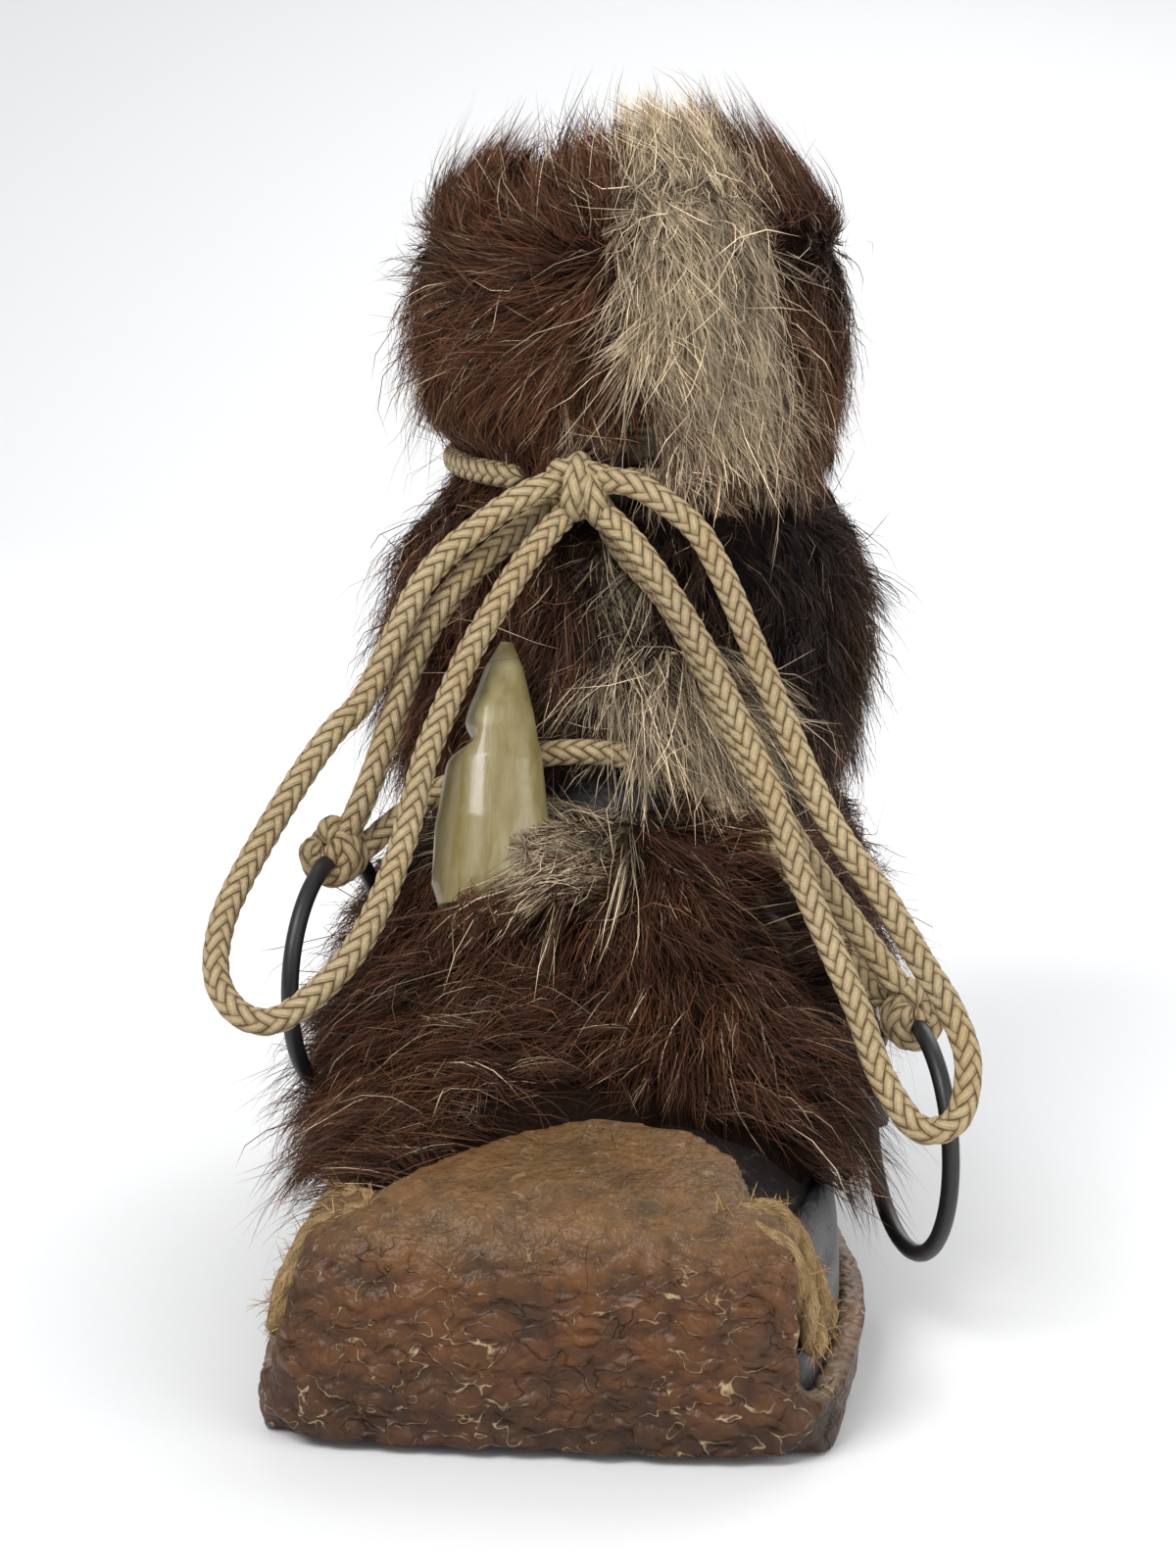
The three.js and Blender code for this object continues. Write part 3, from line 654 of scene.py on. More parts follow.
def felt_finish():
    shader = Shader("felt_finish")
    place = shader.coordinates()
    fuzz = shader.noise(place, 700.0, 6.0, 0.75, 1.5)
    base = shader.blend(fuzz.clamped(0.3, 0.7), (0.05, 0.04, 0.032), (0.15, 0.12, 0.09))
    shader.set(Base_Color=base, Roughness=0.95, Normal=shader.bump(fuzz, 0.001, 0.7))
    return shader.material


def hair_finish():
    shader = Shader("hair_finish")
    place = shader.coordinates()
    tone = shader.attribute("tone")
    shine = shader.noise(place, 300.0, 3.0, 0.6)
    base = shader.tinted(tone, 1 - shine.clamped(0.35, 0.65), (0.7, 0.68, 0.66))
    shader.set(Base_Color=base, Roughness=0.55, Specular_IOR_Level=0.14)
    return shader.material


def pile_finish():
    shader = Shader("pile_finish")
    place = shader.coordinates()
    tone = shader.attribute("tone")
    strands = shader.noise(shader.scaled(place, (1.0, 1.0, 0.16)), 900.0, 4.0, 0.7, 0.6)
    base = shader.tinted(tone, 1 - strands.clamped(0.3, 0.75), (0.3, 0.3, 0.3))
    shader.set(Base_Color=base, Roughness=0.95, Specular_IOR_Level=0.1,
               Normal=shader.bump(strands, 0.0012, 0.9))
    return shader.material


def cord_finish():
    """Braided strands: two sets that cross over and under, laid out by the tube's own map"""
    shader = Shader("cord_finish")
    place = shader.coordinates()
    tone = shader.attribute("tone")
    laid = shader.coordinates("UV")
    around, along = shader.part(laid, "X"), shader.part(laid, "Y")
    first, second = around + along, around - along
    row, column = first.maths("FLOOR"), second.maths("FLOOR")
    over = (((row + column) * 0.25).maths("FRACT") * 2).maths("FLOOR")
    a, b = first.maths("FRACT"), second.maths("FRACT")
    across = a + (b - a) * over
    under_length, over_length = (row + second) * 0.5, (column + first) * 0.5
    length = (under_length + (over_length - under_length) * over).maths("FRACT")
    swell = 0.5 + (length * math.pi).maths("SINE") * 0.5
    lift = (across * math.pi).maths("SINE").power(0.55) * swell
    plies = (across * (4 * math.pi)).maths("SINE").maths("ABSOLUTE")
    threads = shader.noise(place, 1800.0, 4.0, 0.7, 0.4)
    soil = shader.noise(place, 55.0, 4.0, 0.65).clamped(0.4, 0.75)
    # Painted shade darkens the gaps between the braid's strands
    base = shader.tinted(tone, 1 - lift.clamped(0.1, 0.75), (0.56, 0.48, 0.37))
    base = shader.tinted(base, 1 - threads.clamped(0.25, 0.75), (0.72, 0.68, 0.6))
    base = shader.tinted(base, soil * 0.45, (0.72, 0.6, 0.44))
    relief = shader.bump(lift + plies * 0.1 + threads * 0.25, 0.0015, 0.95)
    shader.set(Base_Color=base, Roughness=0.85, Specular_IOR_Level=0.25, Normal=relief)
    return shader.material


def jute_finish():
    shader = Shader("jute_finish")
    tone = shader.attribute("tone")
    map_place = shader.scaled(shader.coordinates("UV"), (6.0, 0.5, 1.0))
    fibres = shader.noise(map_place, 3.0, 5.0, 0.75, 0.3)
    hairs = shader.noise(shader.coordinates(), 1300.0, 3.0, 0.7)
    base = shader.tinted(tone, 1 - fibres.clamped(0.38, 0.62), (0.34, 0.27, 0.18))
    base = shader.tinted(base, hairs.clamped(0.3, 0.7) * 0.5, (1.5, 1.5, 1.4))
    shader.set(Base_Color=base, Roughness=0.9, Specular_IOR_Level=0.2,
               Normal=shader.bump(fibres + hairs * 0.5, 0.0011, 0.9))
    return shader.material


def horn_finish():
    shader = Shader("horn_finish")
    place = shader.coordinates()
    rgb = colour("horn_colour")
    streaks = shader.noise(shader.scaled(place, (1.0, 0.35, 0.12)), 420.0, 4.0, 0.6, 0.4)
    clouds = shader.noise(place, 60.0, 3.0, 0.6)
    base = shader.blend(streaks.clamped(0.36, 0.66), rgb, shaded(rgb, (0.78, 0.72, 0.5)))
    base = shader.blend(clouds.clamped(0.5, 0.75) * 0.5, base, (0.46, 0.43, 0.27))
    relief = shader.bump(streaks, 0.0004, 0.35)
    shader.set(Base_Color=base, Roughness=0.22 + clouds * 0.15, Normal=relief,
               Coat_Weight=0.35, Coat_Roughness=0.1)
    return shader.material


def wire_finish():
    shader = Shader("wire_finish")
    place = shader.coordinates()
    wear = shader.noise(place, 300.0, 5.0, 0.7)
    base = shader.blend(wear.clamped(0.6, 0.8), (0.012, 0.012, 0.013), (0.05, 0.045, 0.04))
    shader.set(Base_Color=base, Roughness=0.3 + wear * 0.25, Normal=shader.bump(wear, 0.0002, 0.5))
    return shader.material


def floor_finish():
    shader = Shader("floor_finish")
    place = shader.coordinates()
    specks = shader.noise(place, 300.0, 3.0, 0.6)
    base = shader.blend(specks, (0.80, 0.80, 0.80), (0.82, 0.82, 0.82))
    shader.set(Base_Color=base, Roughness=0.75)
    return shader.material


# Hide sole

def remeshed(mesh, size):
    """The same form with an even net of faces"""
    helper = in_scene("helper", mesh)
    net = helper.modifiers.new("net", "REMESH")
    net.mode = "VOXEL"
    net.voxel_size = size * MM
    graph = bpy.context.evaluated_depsgraph_get()
    result = bpy.data.meshes.new_from_object(helper.evaluated_get(graph))
    bpy.data.objects.remove(helper)
    bpy.data.meshes.remove(mesh)
    return result


def smoothed(mesh, rounds):
    def work(bm):
        for _ in range(rounds):
            bmesh.ops.smooth_vert(bm, verts=bm.verts, factor=0.5, use_axis_x=True,
                                  use_axis_y=True, use_axis_z=True)
    return edited(mesh, work)


def hide_relief(points):
    """Height of the crinkled hide, from about -1 to 1"""
    push = np.stack([soft_noise(points, 8.0, 11 + axis) for axis in range(3)], axis=1)
    bent = points * (0.8, 1.0, 1.2) + 2.6 * push
    near, second = cell_noise(bent, 7.6, 21)
    bubbles = 1 - 1.6 * smooth(near, 0.0, 0.85)
    creases = smooth(second - near, 0.0, 0.3)
    lumps = soft_noise(bent, 5.0, 31)
    front = smooth(-points[:, 1], 106, 128) * smooth(points[:, 2], 1.0, 4)
    front = front * (1 - 0.6 * smooth(points[:, 2], 38, 50))
    deep = 0.4 * bubbles + 0.4 * creases + 0.3 * lumps - 0.35
    shallow = 0.16 * lumps + 0.1 * bubbles + 0.12 * soft_noise(points, 3.2, 33)
    return mix(shallow, deep, front)


def nearest_on(mesh, points):
    """Nearest points of a mesh, their distances and its directions there"""
    tree = tree_of(mesh)
    found = [tree.find_nearest(Vector(point) * MM) for point in points]
    near = np.array([place for place, _, _, _ in found]) / MM
    facing = np.array([normal for _, normal, _, _ in found])
    return near, np.array([distance for _, _, _, distance in found]) / MM, facing


def hide_tone(z, relief, edge):
    """Colours of the hide: sandy on top, dark low down, darker in its hollows by painted shade,
    paler on its raised spots by painted highlight, and pale where it is cut
    """
    top = smooth(z, 36, 52)[:, None]
    tone = mix(rows_of(colour("hide_colour")), rows_of(colour("hide_top_colour")), top)
    tone = tone * mix(1.0, 0.5, 1 - smooth(z, 0, 22))[:, None]
    # Painted highlight pales the raised spots and painted shade darkens the hollows
    raised_highlight = smooth(relief, 0.15, 0.6)[:, None]
    pit_shade = (1 - smooth(relief, -0.6, 0.05))[:, None]
    tone = mix(tone, tone * (1.3, 1.4, 1.5), 0.6 * raised_highlight)
    tone = tone * mix(1.0, 0.5, pit_shade)
    return mix(tone, rows_of(colour("hide_edge_colour")), 0.85 * edge[:, None])


def build_outsole():
    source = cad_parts["outsole"].data.copy()
    mesh = smoothed(remeshed(welded(source), settings().hide_voxel), 2)
    points = points_of(mesh) / MM
    normals = read(mesh.vertex_normals, "vector", 3)
    guide = body_mesh("guide", 120, 260, -1, LAST_SECTION, lambda u, _: 0 * u + HIDE_OUTSIDE)
    near, away, facing = nearest_on(guide, points)
    outward = dots(normals, facing)
    pull = (1 - smooth(away, 2.2, 3.4)) * smooth(outward, 0.3, 0.6)
    points = mix(points, near, pull[:, None])
    edge = (1 - smooth(outward, 0.45, 0.8)) * smooth(away, -0.5, 0.6)
    edge *= (1 - smooth(away, 5.0, 5.8)) * smooth(points[:, 2], 3, 6)
    relief = hide_relief(points)
    shown = smooth(points[:, 2], 0.3, 2.5) * (1 - smooth(away, 1.0, 3.0) * 0.6)
    points = points + normals * (relief * settings().crinkle * shown)[:, None]
    points[:, 2] = np.maximum(points[:, 2], 0.0)
    set_points(mesh, points * MM)
    set_tone(mesh, hide_tone(points[:, 2], relief, edge))
    new_piece("hide_sole", mesh, "hide", hide_finish(), "outsole")


# Leather boot

def wall(piece, thickness):
    solid = piece.modifiers.new("wall", "SOLIDIFY")
    solid.thickness = thickness * MM
    solid.offset = -1


def band_between(name, grow, low, high, around=90, rows=150):
    mesh = body_mesh(name, around, rows, -1, LAST_SECTION, lambda u, _: 0 * u + grow)
    cut(mesh, (0, 0, low), (0, 0, -1))
    return cut(mesh, (0, 0, high), (0, 0, 1))


def build_leather():
    mesh = band_between("leather_upper", 0.0, FLOOR_OF_UPPER, SHAFT_HEIGHT)
    finish = leather_finish("black_leather_finish", (0.018, 0.014, 0.012), 0.5, 0.0003)
    wall(new_piece("leather_upper", mesh, "black_leather", finish, "upper"), UPPER_WALL)
    mesh = band_between("grey_rand", RAND_OUTSIDE, FLOOR_OF_UPPER, RAND_HEIGHT, 110, 160)
    finish = leather_finish("grey_leather_finish", colour("leather_colour"), 0.34, 0.00015)
    wall(new_piece("grey_rand", mesh, "grey_leather", finish, "rand"), RAND_WALL)
    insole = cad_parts["insole"].data
    insole.materials.clear()
    insole.materials.append(felt_finish())


# Cords

def smooth_line(route, step):
    """Even steps along a curve through the route's points"""
    points = rows_of(route)
    padded = np.vstack([2 * points[0] - points[1], points, 2 * points[-1] - points[-2]])
    samples = []
    for index in range(len(points) - 1):
        a, b, c, d = padded[index:index + 4]
        t = np.linspace(0, 1, 24, endpoint=False)[:, None]
        samples.append(spline(a, b, c, d, t))
    line = np.vstack(samples + [points[-1:]])
    return resampled(line, step)


def resampled(line, step):
    length = np.concatenate([[0], np.cumsum(np.linalg.norm(np.diff(line, axis=0), axis=1))])
    count = max(4, int(round(length[-1] / step)))
    stops = np.linspace(0, length[-1], count + 1)
    return np.stack([np.interp(stops, length, line[:, axis]) for axis in range(3)], axis=1)


def frames_along(line):
    """Directions across a line, carried along it without twist"""
    tangent = unit(np.gradient(line, axis=0))
    side = np.zeros_like(line)
    start = np.cross(tangent[0], (0.3, 0.2, 1.0))
    side[0] = start / np.linalg.norm(start)
    for index in range(1, len(line)):
        carried = side[index - 1] - tangent[index] * side[index - 1].dot(tangent[index])
        side[index] = carried / np.linalg.norm(carried)
    return side, np.cross(tangent, side)


def braid(turn, along):
    """Height of a braid's strands from 0 to 1, in two sets that cross over two and under two"""
    first = BRAID_STRANDS * turn + along / BRAID_PITCH
    second = BRAID_STRANDS * turn - along / BRAID_PITCH
    over = (np.floor(first) + np.floor(second)) % 4 > 1
    across = np.where(over, second, first) % 1
    length = np.where(over, np.floor(second) + first, np.floor(first) + second) / 2 % 1
    return np.sin(math.pi * across) ** 0.7 * (0.6 + 0.4 * np.sin(math.pi * length))


def twist(turn, along):
    """Height of a twisted twine's plies from 0 to 1"""
    return np.abs(np.sin(math.pi * (TWINE_PLIES * turn - along / TWINE_PITCH))) ** 0.6


def tube_mesh(name, route, radius, height, relief, rgb, step):
    """A tube with closed ends along a route, whose surface rises by relief(turn, along)"""
    line = smooth_line(route, step)
    side, other = frames_along(line)
    count = len(line) - 1
    reach = count * step

    def place(x, y):
        row = np.round(y * count).astype(int)
        angle = 2 * math.pi * x
        size = radius - 0.6 * height + height * relief(x % 1, y * reach)
        size = size * np.sqrt(clamp(np.minimum(y, 1 - y) * reach / radius, 0, 1))
        return line[row] + (side[row] * np.cos(angle)[:, None]
                            + other[row] * np.sin(angle)[:, None]) * size[:, None]

    mesh = grid_mesh(name, TUBE_SIDES, count, place)
    flat = read(mesh.uv_layers[0].data, "uv", 2, np.float32)
    uv = np.zeros((len(mesh.vertices), 2))
    uv[corners_of(mesh)] = flat
    lift = relief(uv[:, 0] % 1, uv[:, 1] * reach)
    drift = soft_noise(points_of(mesh) / MM, 18.0, 5)
    # Painted shade darkens the grooves between the strands and plies, and faint painted highlight
    # lightens their raised tops
    tone = rows_of(rgb) * (0.7 + 0.35 * smooth(lift, 0.1, 0.85) + 0.1 * drift)[:, None]
    set_tone(mesh, tone)
    laid = flat * (BRAID_STRANDS, reach / BRAID_PITCH)
    mesh.uv_layers[0].data.foreach_set("uv", laid.astype(np.float32).ravel())
    return faced_out(welded(mesh, 2e-6)), line


def braided(name, route, step=CORD_STEP):
    return tube_mesh(name, route, CORD_RADIUS, settings().braid_height, braid,
                     colour("cord_colour"), step)


def ankle_route():
    """The tie's turn round the shaft at its height, open at the knot"""
    opening = 0.17
    angles = np.linspace(opening, 2 * math.pi - opening, 60) - 0.17
    low = np.zeros(len(angles))
    high = np.full(len(angles), float(LAST_SECTION))
    for _ in range(30):
        middle = (low + high) / 2
        below = body_points(middle, angles)[:, 2] < TIE_HEIGHT
        low = np.where(below, middle, low)
        high = np.where(below, high, middle)
    grow = CORD_RADIUS + 1.3
    points = body_points(low, angles) + body_normals(low, angles) * grow
    points[:, 2] = TIE_HEIGHT
    return points


def ring_frame(ring):
    heading = unit(rows_of(ring["heading"]))
    up = np.array([0.0, 0.0, 1.0])
    return rows_of(ring["place"]), heading, up, np.cross(heading, up)


def circle_route(middle, first, second, radius, start=0.0, turns=1.0, drift=(0, 0, 0), stops=24):
    """Turns round a middle in the plane of two directions, that move by drift on their way"""
    angle = start + np.linspace(0, 2 * math.pi * turns, int(stops * turns) + 1)
    points = (rows_of(middle) + radius * (np.cos(angle)[:, None] * rows_of(first)
                                          + np.sin(angle)[:, None] * rows_of(second)))
    return points + np.linspace(-0.5, 0.5, len(points))[:, None] * rows_of(drift)


def bow_knot_routes():
    knot = rows_of(KNOT_PLACE)
    yield circle_route(knot + (-1.0, -2.6, 0.5), (0, 1, 0.1), (0.18, 0, 1), 5.2, drift=(2, 0, 0))
    yield circle_route(knot + (3.6, -2.2, -1.8), (0, 1, 0), (-0.3, 0, 1), 4.8, drift=(-1, 0, 0))
    yield knot + [(-8, -1.2, 3.4), (-3, -4.4, 4.4), (3, -4.4, 3.6), (8, -2.4, 2.4)]
    yield knot + [(-7, -1.0, -3.4), (-2, -3.8, -3.2), (3, -3.8, -4.2), (7, -1.6, -6)]


def ring_knot_routes(ring):
    place, heading, up, across = ring_frame(ring)
    wire = place + up * RING_RADIUS
    yield circle_route(wire + up * 0.6, across, up, 4.2, start=0.6, turns=2.1,
                       drift=heading * 9.0, stops=22)
    yield circle_route(wire + up * 3.2, heading, up + 0.2 * across, 3.6, start=0.2)


def build_cords():
    finish = cord_finish()

    def knot(node, routes):
        name = f"cord_{node}"
        meshes = [braided("part", route, KNOT_STEP)[0] for route in routes]
        return new_piece(name, joined(name, meshes), "cord", finish, node)

    knots = {"bow_knot": knot("bow_knot", bow_knot_routes())}
    for ring_name, ring in RINGS.items():
        node = ring_name.replace("ring", "ring_knot")
        knots[node] = knot(node, ring_knot_routes(ring))
    for name, route in {**ROUTES, "ankle_tie": ankle_route()}.items():
        mesh, line = braided(f"cord_{name}", route)
        piece = new_piece(f"cord_{name}", mesh, "cord", finish, name)
        if name not in FREE_CORDS:
            continue
        far_end, held = FREE_CORDS[name]
        length = np.linalg.norm(np.diff(line, axis=0), axis=1).sum() * MM
        tuple(line[0] * MM)
        (line * MM).tolist()
        [knots[node] for node in held]


# Rings, straps, lashings and toggle

def ring_wire(name, ring):
    """A round wire spun about the ring's middle"""
    place, heading, up, across = ring_frame(ring)
    bm = bmesh.new()
    made = bmesh.ops.create_circle(bm, segments=WIRE_SIDES, radius=WIRE_RADIUS * MM)
    turn = Matrix([(*heading, 0), (*across, 0), (*up, 0), (0, 0, 0, 1)]).transposed()
    turn.translation = Vector(place + heading * RING_RADIUS) * MM
    bmesh.ops.transform(bm, matrix=turn, verts=made["verts"])
    bmesh.ops.spin(bm, geom=bm.verts[:] + bm.edges[:], cent=Vector(place) * MM,
                   axis=Vector(across), angle=2 * math.pi, steps=RING_STEPS, use_merge=True)
    bmesh.ops.remove_doubles(bm, verts=bm.verts, dist=1e-6)
    bmesh.ops.recalc_face_normals(bm, faces=bm.faces)
    return mesh_of(bm, name)


def build_rings():
    wire = wire_finish()
    leather = leather_finish("strap_leather_finish", colour("leather_colour"), 0.45, 0.0002)
    for name, ring in RINGS.items():
        new_piece(f"wire_{name}", ring_wire(f"wire_{name}", ring), "wire", wire, name)
        node = name.replace("ring", "ring_strap")
        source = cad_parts[node].data.copy()
        mesh = smoothed(remeshed(welded(source), STRAP_VOXEL), 3)
        new_piece(f"leather_{node}", mesh, "grey_leather", leather, node)


def twine_fuzz(line, rng):
    """Loose fibres that stand off a length of twine"""
    pick = rng.integers(1, len(line) - 1, TWINE_FIBRES)
    out = unit(rng.normal(size=(TWINE_FIBRES, 3)))
    roots = line[pick] + out * TWINE_RADIUS * 0.85
    lay = unit(np.gradient(line, axis=0))[pick]
    tone = rows_of(colour("jute_colour")) * rng.uniform(0.7, 1.7, (TWINE_FIBRES, 1))
    way = lay * rng.choice((-1, 1), (TWINE_FIBRES, 1))
    stray = unit(way + 0.6 * rng.normal(size=(TWINE_FIBRES, 3)))
    reach = rng.uniform(1.5, 6.0, (TWINE_FIBRES, 1))
    tips = roots + out * rng.uniform(0.3, 2.0, (TWINE_FIBRES, 1)) + stray * reach
    paths = bezier(roots, roots + out * 1.2 + stray * 0.4 * reach, tips)
    return ribbons("fuzz", [(paths, out, np.full(TWINE_FIBRES, FIBRE_WIDTH), tone, tone)])


def build_lashings():
    finish = jute_finish()
    rng = np.random.default_rng(7)
    for side, node in ((1, "toe_lashing_inner"), (-1, "toe_lashing_outer")):
        parts = []
        for turn in LASHING_TURNS:
            stops = rows_of(turn)
            seat = np.full(len(stops), RAND_OUTSIDE + 2 * CLEARANCE + TWINE_RADIUS)
            route = form_points(stops[:, 0], side * stops[:, 1] * math.pi, seat)
            mesh, line = tube_mesh("twine", route, TWINE_RADIUS, TWINE_RELIEF, twist,
                                   colour("jute_colour"), TWINE_STEP)
            parts += [mesh, twine_fuzz(line, rng)]
        new_piece(f"jute_{node}", joined(f"jute_{node}", parts), "jute", finish, node)


def build_toggle():
    heel = rows_of(TOGGLE_HEEL)
    axis = unit(rows_of(TOGGLE_TIP) - heel)
    side = unit(np.array([1.0, 0, 0]) - axis * axis[0])
    front = np.cross(axis, side)
    table = rows_of(TOGGLE_STATIONS)

    def place(x, y):
        end = clamp(np.minimum(y, 1 - y) / TOGGLE_ROUNDING, 0, 1)
        at = clamp((y - TOGGLE_ROUNDING) / (1 - 2 * TOGGLE_ROUNDING), 0, 1)
        width, depth, bow = (np.interp(at, table[:, 0], table[:, column]) for column in (1, 2, 3))
        angle = 2 * math.pi * x
        size = np.sin(0.5 * math.pi * end) ** 0.7
        across = np.sin(angle) * 0.5 * width * size
        notch = np.exp(-((at - 0.6) / 0.045) ** 2) * smooth(-np.sin(angle), 0.2, 1) * 0.055
        ledge = smooth(at, 0.56, 0.66) * smooth(-np.sin(angle), 0.1, 0.9) * 0.021
        across = across + notch + ledge
        flutes = 1 + 0.024 * np.cos(5 * angle + 3 * at) * size
        deep = np.cos(angle) * 0.5 * depth * size * flutes
        bend = bow + 0.012 * np.sin(2.6 * at + 0.5)
        return (heel + np.outer(at * TOGGLE_LENGTH, axis)
                + np.outer(across * TOGGLE_LENGTH, side)
                + np.outer(-(deep + bend) * TOGGLE_LENGTH, front))

    mesh = faced_out(welded(grid_mesh("horn_toggle", 56, 110, place)))
    new_piece("horn_toggle", mesh, "horn", horn_finish(), "toggle")


# Fur

# Upper edge of the foot's panel and lower edge of the shaft's, as shares of the boot's length and
# height
BROW = ((0.05, 0.36, 0.42, 0.54, 1.2), (0.5, 0.5, 0.43, 0.39, 0.355))
HEM = ((0.3, 0.45, 0.54, 1.3), (0.58, 0.51, 0.45, 0.4))

# Back edge of the hide's fold over the toe, as x and y
FLAP_EDGE = ((-45.4, -40.9, -33.6, -23.5, -9.0, 5.6, 28.0, 36.4, 40.3, 43.1, 47.0),
             (-129.4, -128.8, -120.1, -110.4, -100.3, -95.0, -95.6, -99.8, -110.9, -124.1, -129.4))

# Pale, dark and thick patches of the coat, seen from the front. Middles, half sizes and sideways
# lean per millimetre of height are in millimetres; pale runs from -1, black, to 1, blond; reach,
# lift and hairs multiply the hair's length, height and number.
PATCH_COLUMNS = ("panel", "x", "z", "half_width", "half_height", "lean", "pale", "flow_x", "flow_z",
                 "reach", "lift", "hairs")
PATCHES = (
    ("cuff", 16.5, 243.0, 12.0, 30.0, 0.0, 1.0, 0.03, -1.0, 1.1, 1.0, 1.8),
    ("cuff", 16.0, 258.0, 15.5, 11.0, 0.0, 0.9, 0.03, -1.0, 0.8, 1.0, 2.4),
    ("cuff", 18.0, 212.0, 13.0, 17.0, -0.15, 0.75, 0.2, -0.97, 1.15, 1.1, 2.0),
    ("cuff", -2.0, 198.0, 11.0, 9.0, 0.0, 0.4, -0.5, -0.7, 0.7, 0.6, 1.0),
    ("cuff", 28.0, 194.0, 22.0, 7.0, 0.0, 0.16, 0.3, -1.0, 0.8, 1.5, 2.2),
    ("cuff", 9.0, 192.0, 9.0, 6.0, 0.0, 0.4, 0.1, -1.0, 0.7, 1.4, 4.0),
    ("shaft", 47.0, 150.0, 7.0, 20.0, 0.0, 0.12, 0.5, -0.9, 1.3, 1.3, 1.4),
    ("shaft", 37.0, 158.0, 15.0, 26.0, 0.0, -0.95, 0.4, -1.0, 0.7, 0.6, 0.9),
    ("shaft", 13.0, 135.0, 11.0, 16.0, -0.5, 0.8, 0.4, -0.9, 1.15, 1.5, 5.5),
    ("shaft", 2.0, 166.0, 7.0, 9.0, 0.0, 0.6, 0.1, -1.0, 1.2, 1.0, 1.2),
    ("foot", 22.0, 106.0, 26.0, 9.0, 0.0, 0.0, 0.3, -0.9, 1.0, 1.3, 2.4),
    ("foot", -5.0, 103.0, 11.0, 10.0, 0.0, 0.7, -0.9, -0.5, 1.25, 1.6, 5.0),
    ("foot", 50.0, 88.0, 13.0, 14.0, 0.0, 0.05, 0.8, -0.6, 1.4, 1.5, 4.0),
)

# Short hairs fill the coat and long ones lie over them; light scales their tone, as painted shade
# on the short hairs beneath and painted highlight on the long ones
HAIR_KINDS = {
    "under": {"reach": (8.0, 17.0), "rise": (0.2, 0.5), "height": (0.05, 0.5), "wave": 0.5,
              "locks": (0.25, 0.45), "width": 1.15, "light": 0.75},
    "long": {"reach": (14.0, 36.0), "rise": (0.3, 0.75), "height": (0.1, 0.8), "wave": 1.7,
             "locks": (0.4, 0.5), "width": 0.85, "light": 1.12},
}
HAIR_STOPS = np.linspace(0, 1, 5)
TRIES_FOR_HAIR = 40
HAIRS_IN_LOCK = 70
HAIRS_IN_TUFT = 11
STRAY_SHARE = 0.07
HIGHEST_TIP = 283.0


def collar_lean(z):
    """How far the collar's fur rounds inwards at a height"""
    return 0.7 * np.maximum(z - 247, 0)


def panel_depth(panel, z, angle):
    facts = PANELS[panel]
    share = clamp((z / SHAFT_HEIGHT - facts["low"]) / (facts["high"] - facts["low"]), 0, 1)
    sideways = mix(facts["front"], 1.0, np.abs(np.sin(angle)))
    return CLEARANCE + facts["pile"] * sideways * (0.3 + 0.7 * np.sin(math.pi * share))


def cuff_top(points):
    """Ragged upper edge of the cuff, highest at the pale stripe"""
    x, y, z = points.T
    front = smooth(-y, -70, -30)
    crown = mix(253.0, 264.0 - 12 * smooth(np.abs(x - 14), 12, 32), front)
    flat = points * (1, 1, 0)
    return crown + 3.5 * soft_noise(flat, 11.0, 57) + 2.0 * soft_noise(flat, 4.0, 58)


def panel_inside(panel, points):
    """How far a point of the skin lies inside a panel, in millimetres"""
    x, y, z = points.T
    along = y / FOOT_LENGTH + 0.5
    if panel == "foot":
        brow = np.interp(along, *BROW) * SHAFT_HEIGHT
        bare = 9 * smooth(x, 8, 22) * (1 - smooth(x, 44, 52)) * smooth(-y, 74, 84)
        high = 5 * (1 - smooth(np.abs(x - 8), 34, 48))
        return np.minimum(np.minimum(z - 40.5 - bare * 2, brow + high - z), y + 119)
    if panel == "shaft":
        hem = np.interp(along, *HEM) * SHAFT_HEIGHT
        return np.minimum(z - hem, 0.725 * SHAFT_HEIGHT - z)
    low = 6.5 * smooth(x, 0, 4) * (1 - smooth(x, 46, 52)) * smooth(-y, -50, -30)
    return np.minimum(z - 0.76 * SHAFT_HEIGHT + low, cuff_top(points) - z)


def patch_weights(panel, points):
    """Strength of each patch at points of the skin, and the patch"""
    front = smooth(-points[:, 1], -60, -30)
    wave = 1.6 * soft_noise(points, 9.0, 71) + 1.2 * soft_noise(points, 4.0, 72)
    for row in PATCHES:
        patch = dict(zip(PATCH_COLUMNS, row))
        if patch["panel"] != panel:
            continue
        lean = patch["lean"] * (points[:, 2] - patch["z"])
        across = np.abs(points[:, 0] + wave - patch["x"] - lean) / patch["half_width"]
        up = np.abs(points[:, 2] + 2 * wave - patch["z"]) / patch["half_height"]
        weight = (1 - smooth(across, 0.8, 1.15)) * (1 - smooth(up, 0.7, 1.2)) * front
        yield weight, patch


def patch_factor(panel, points, column):
    factor = np.ones(len(points))
    for weight, patch in patch_weights(panel, points):
        factor = mix(factor, patch[column], weight)
    return factor


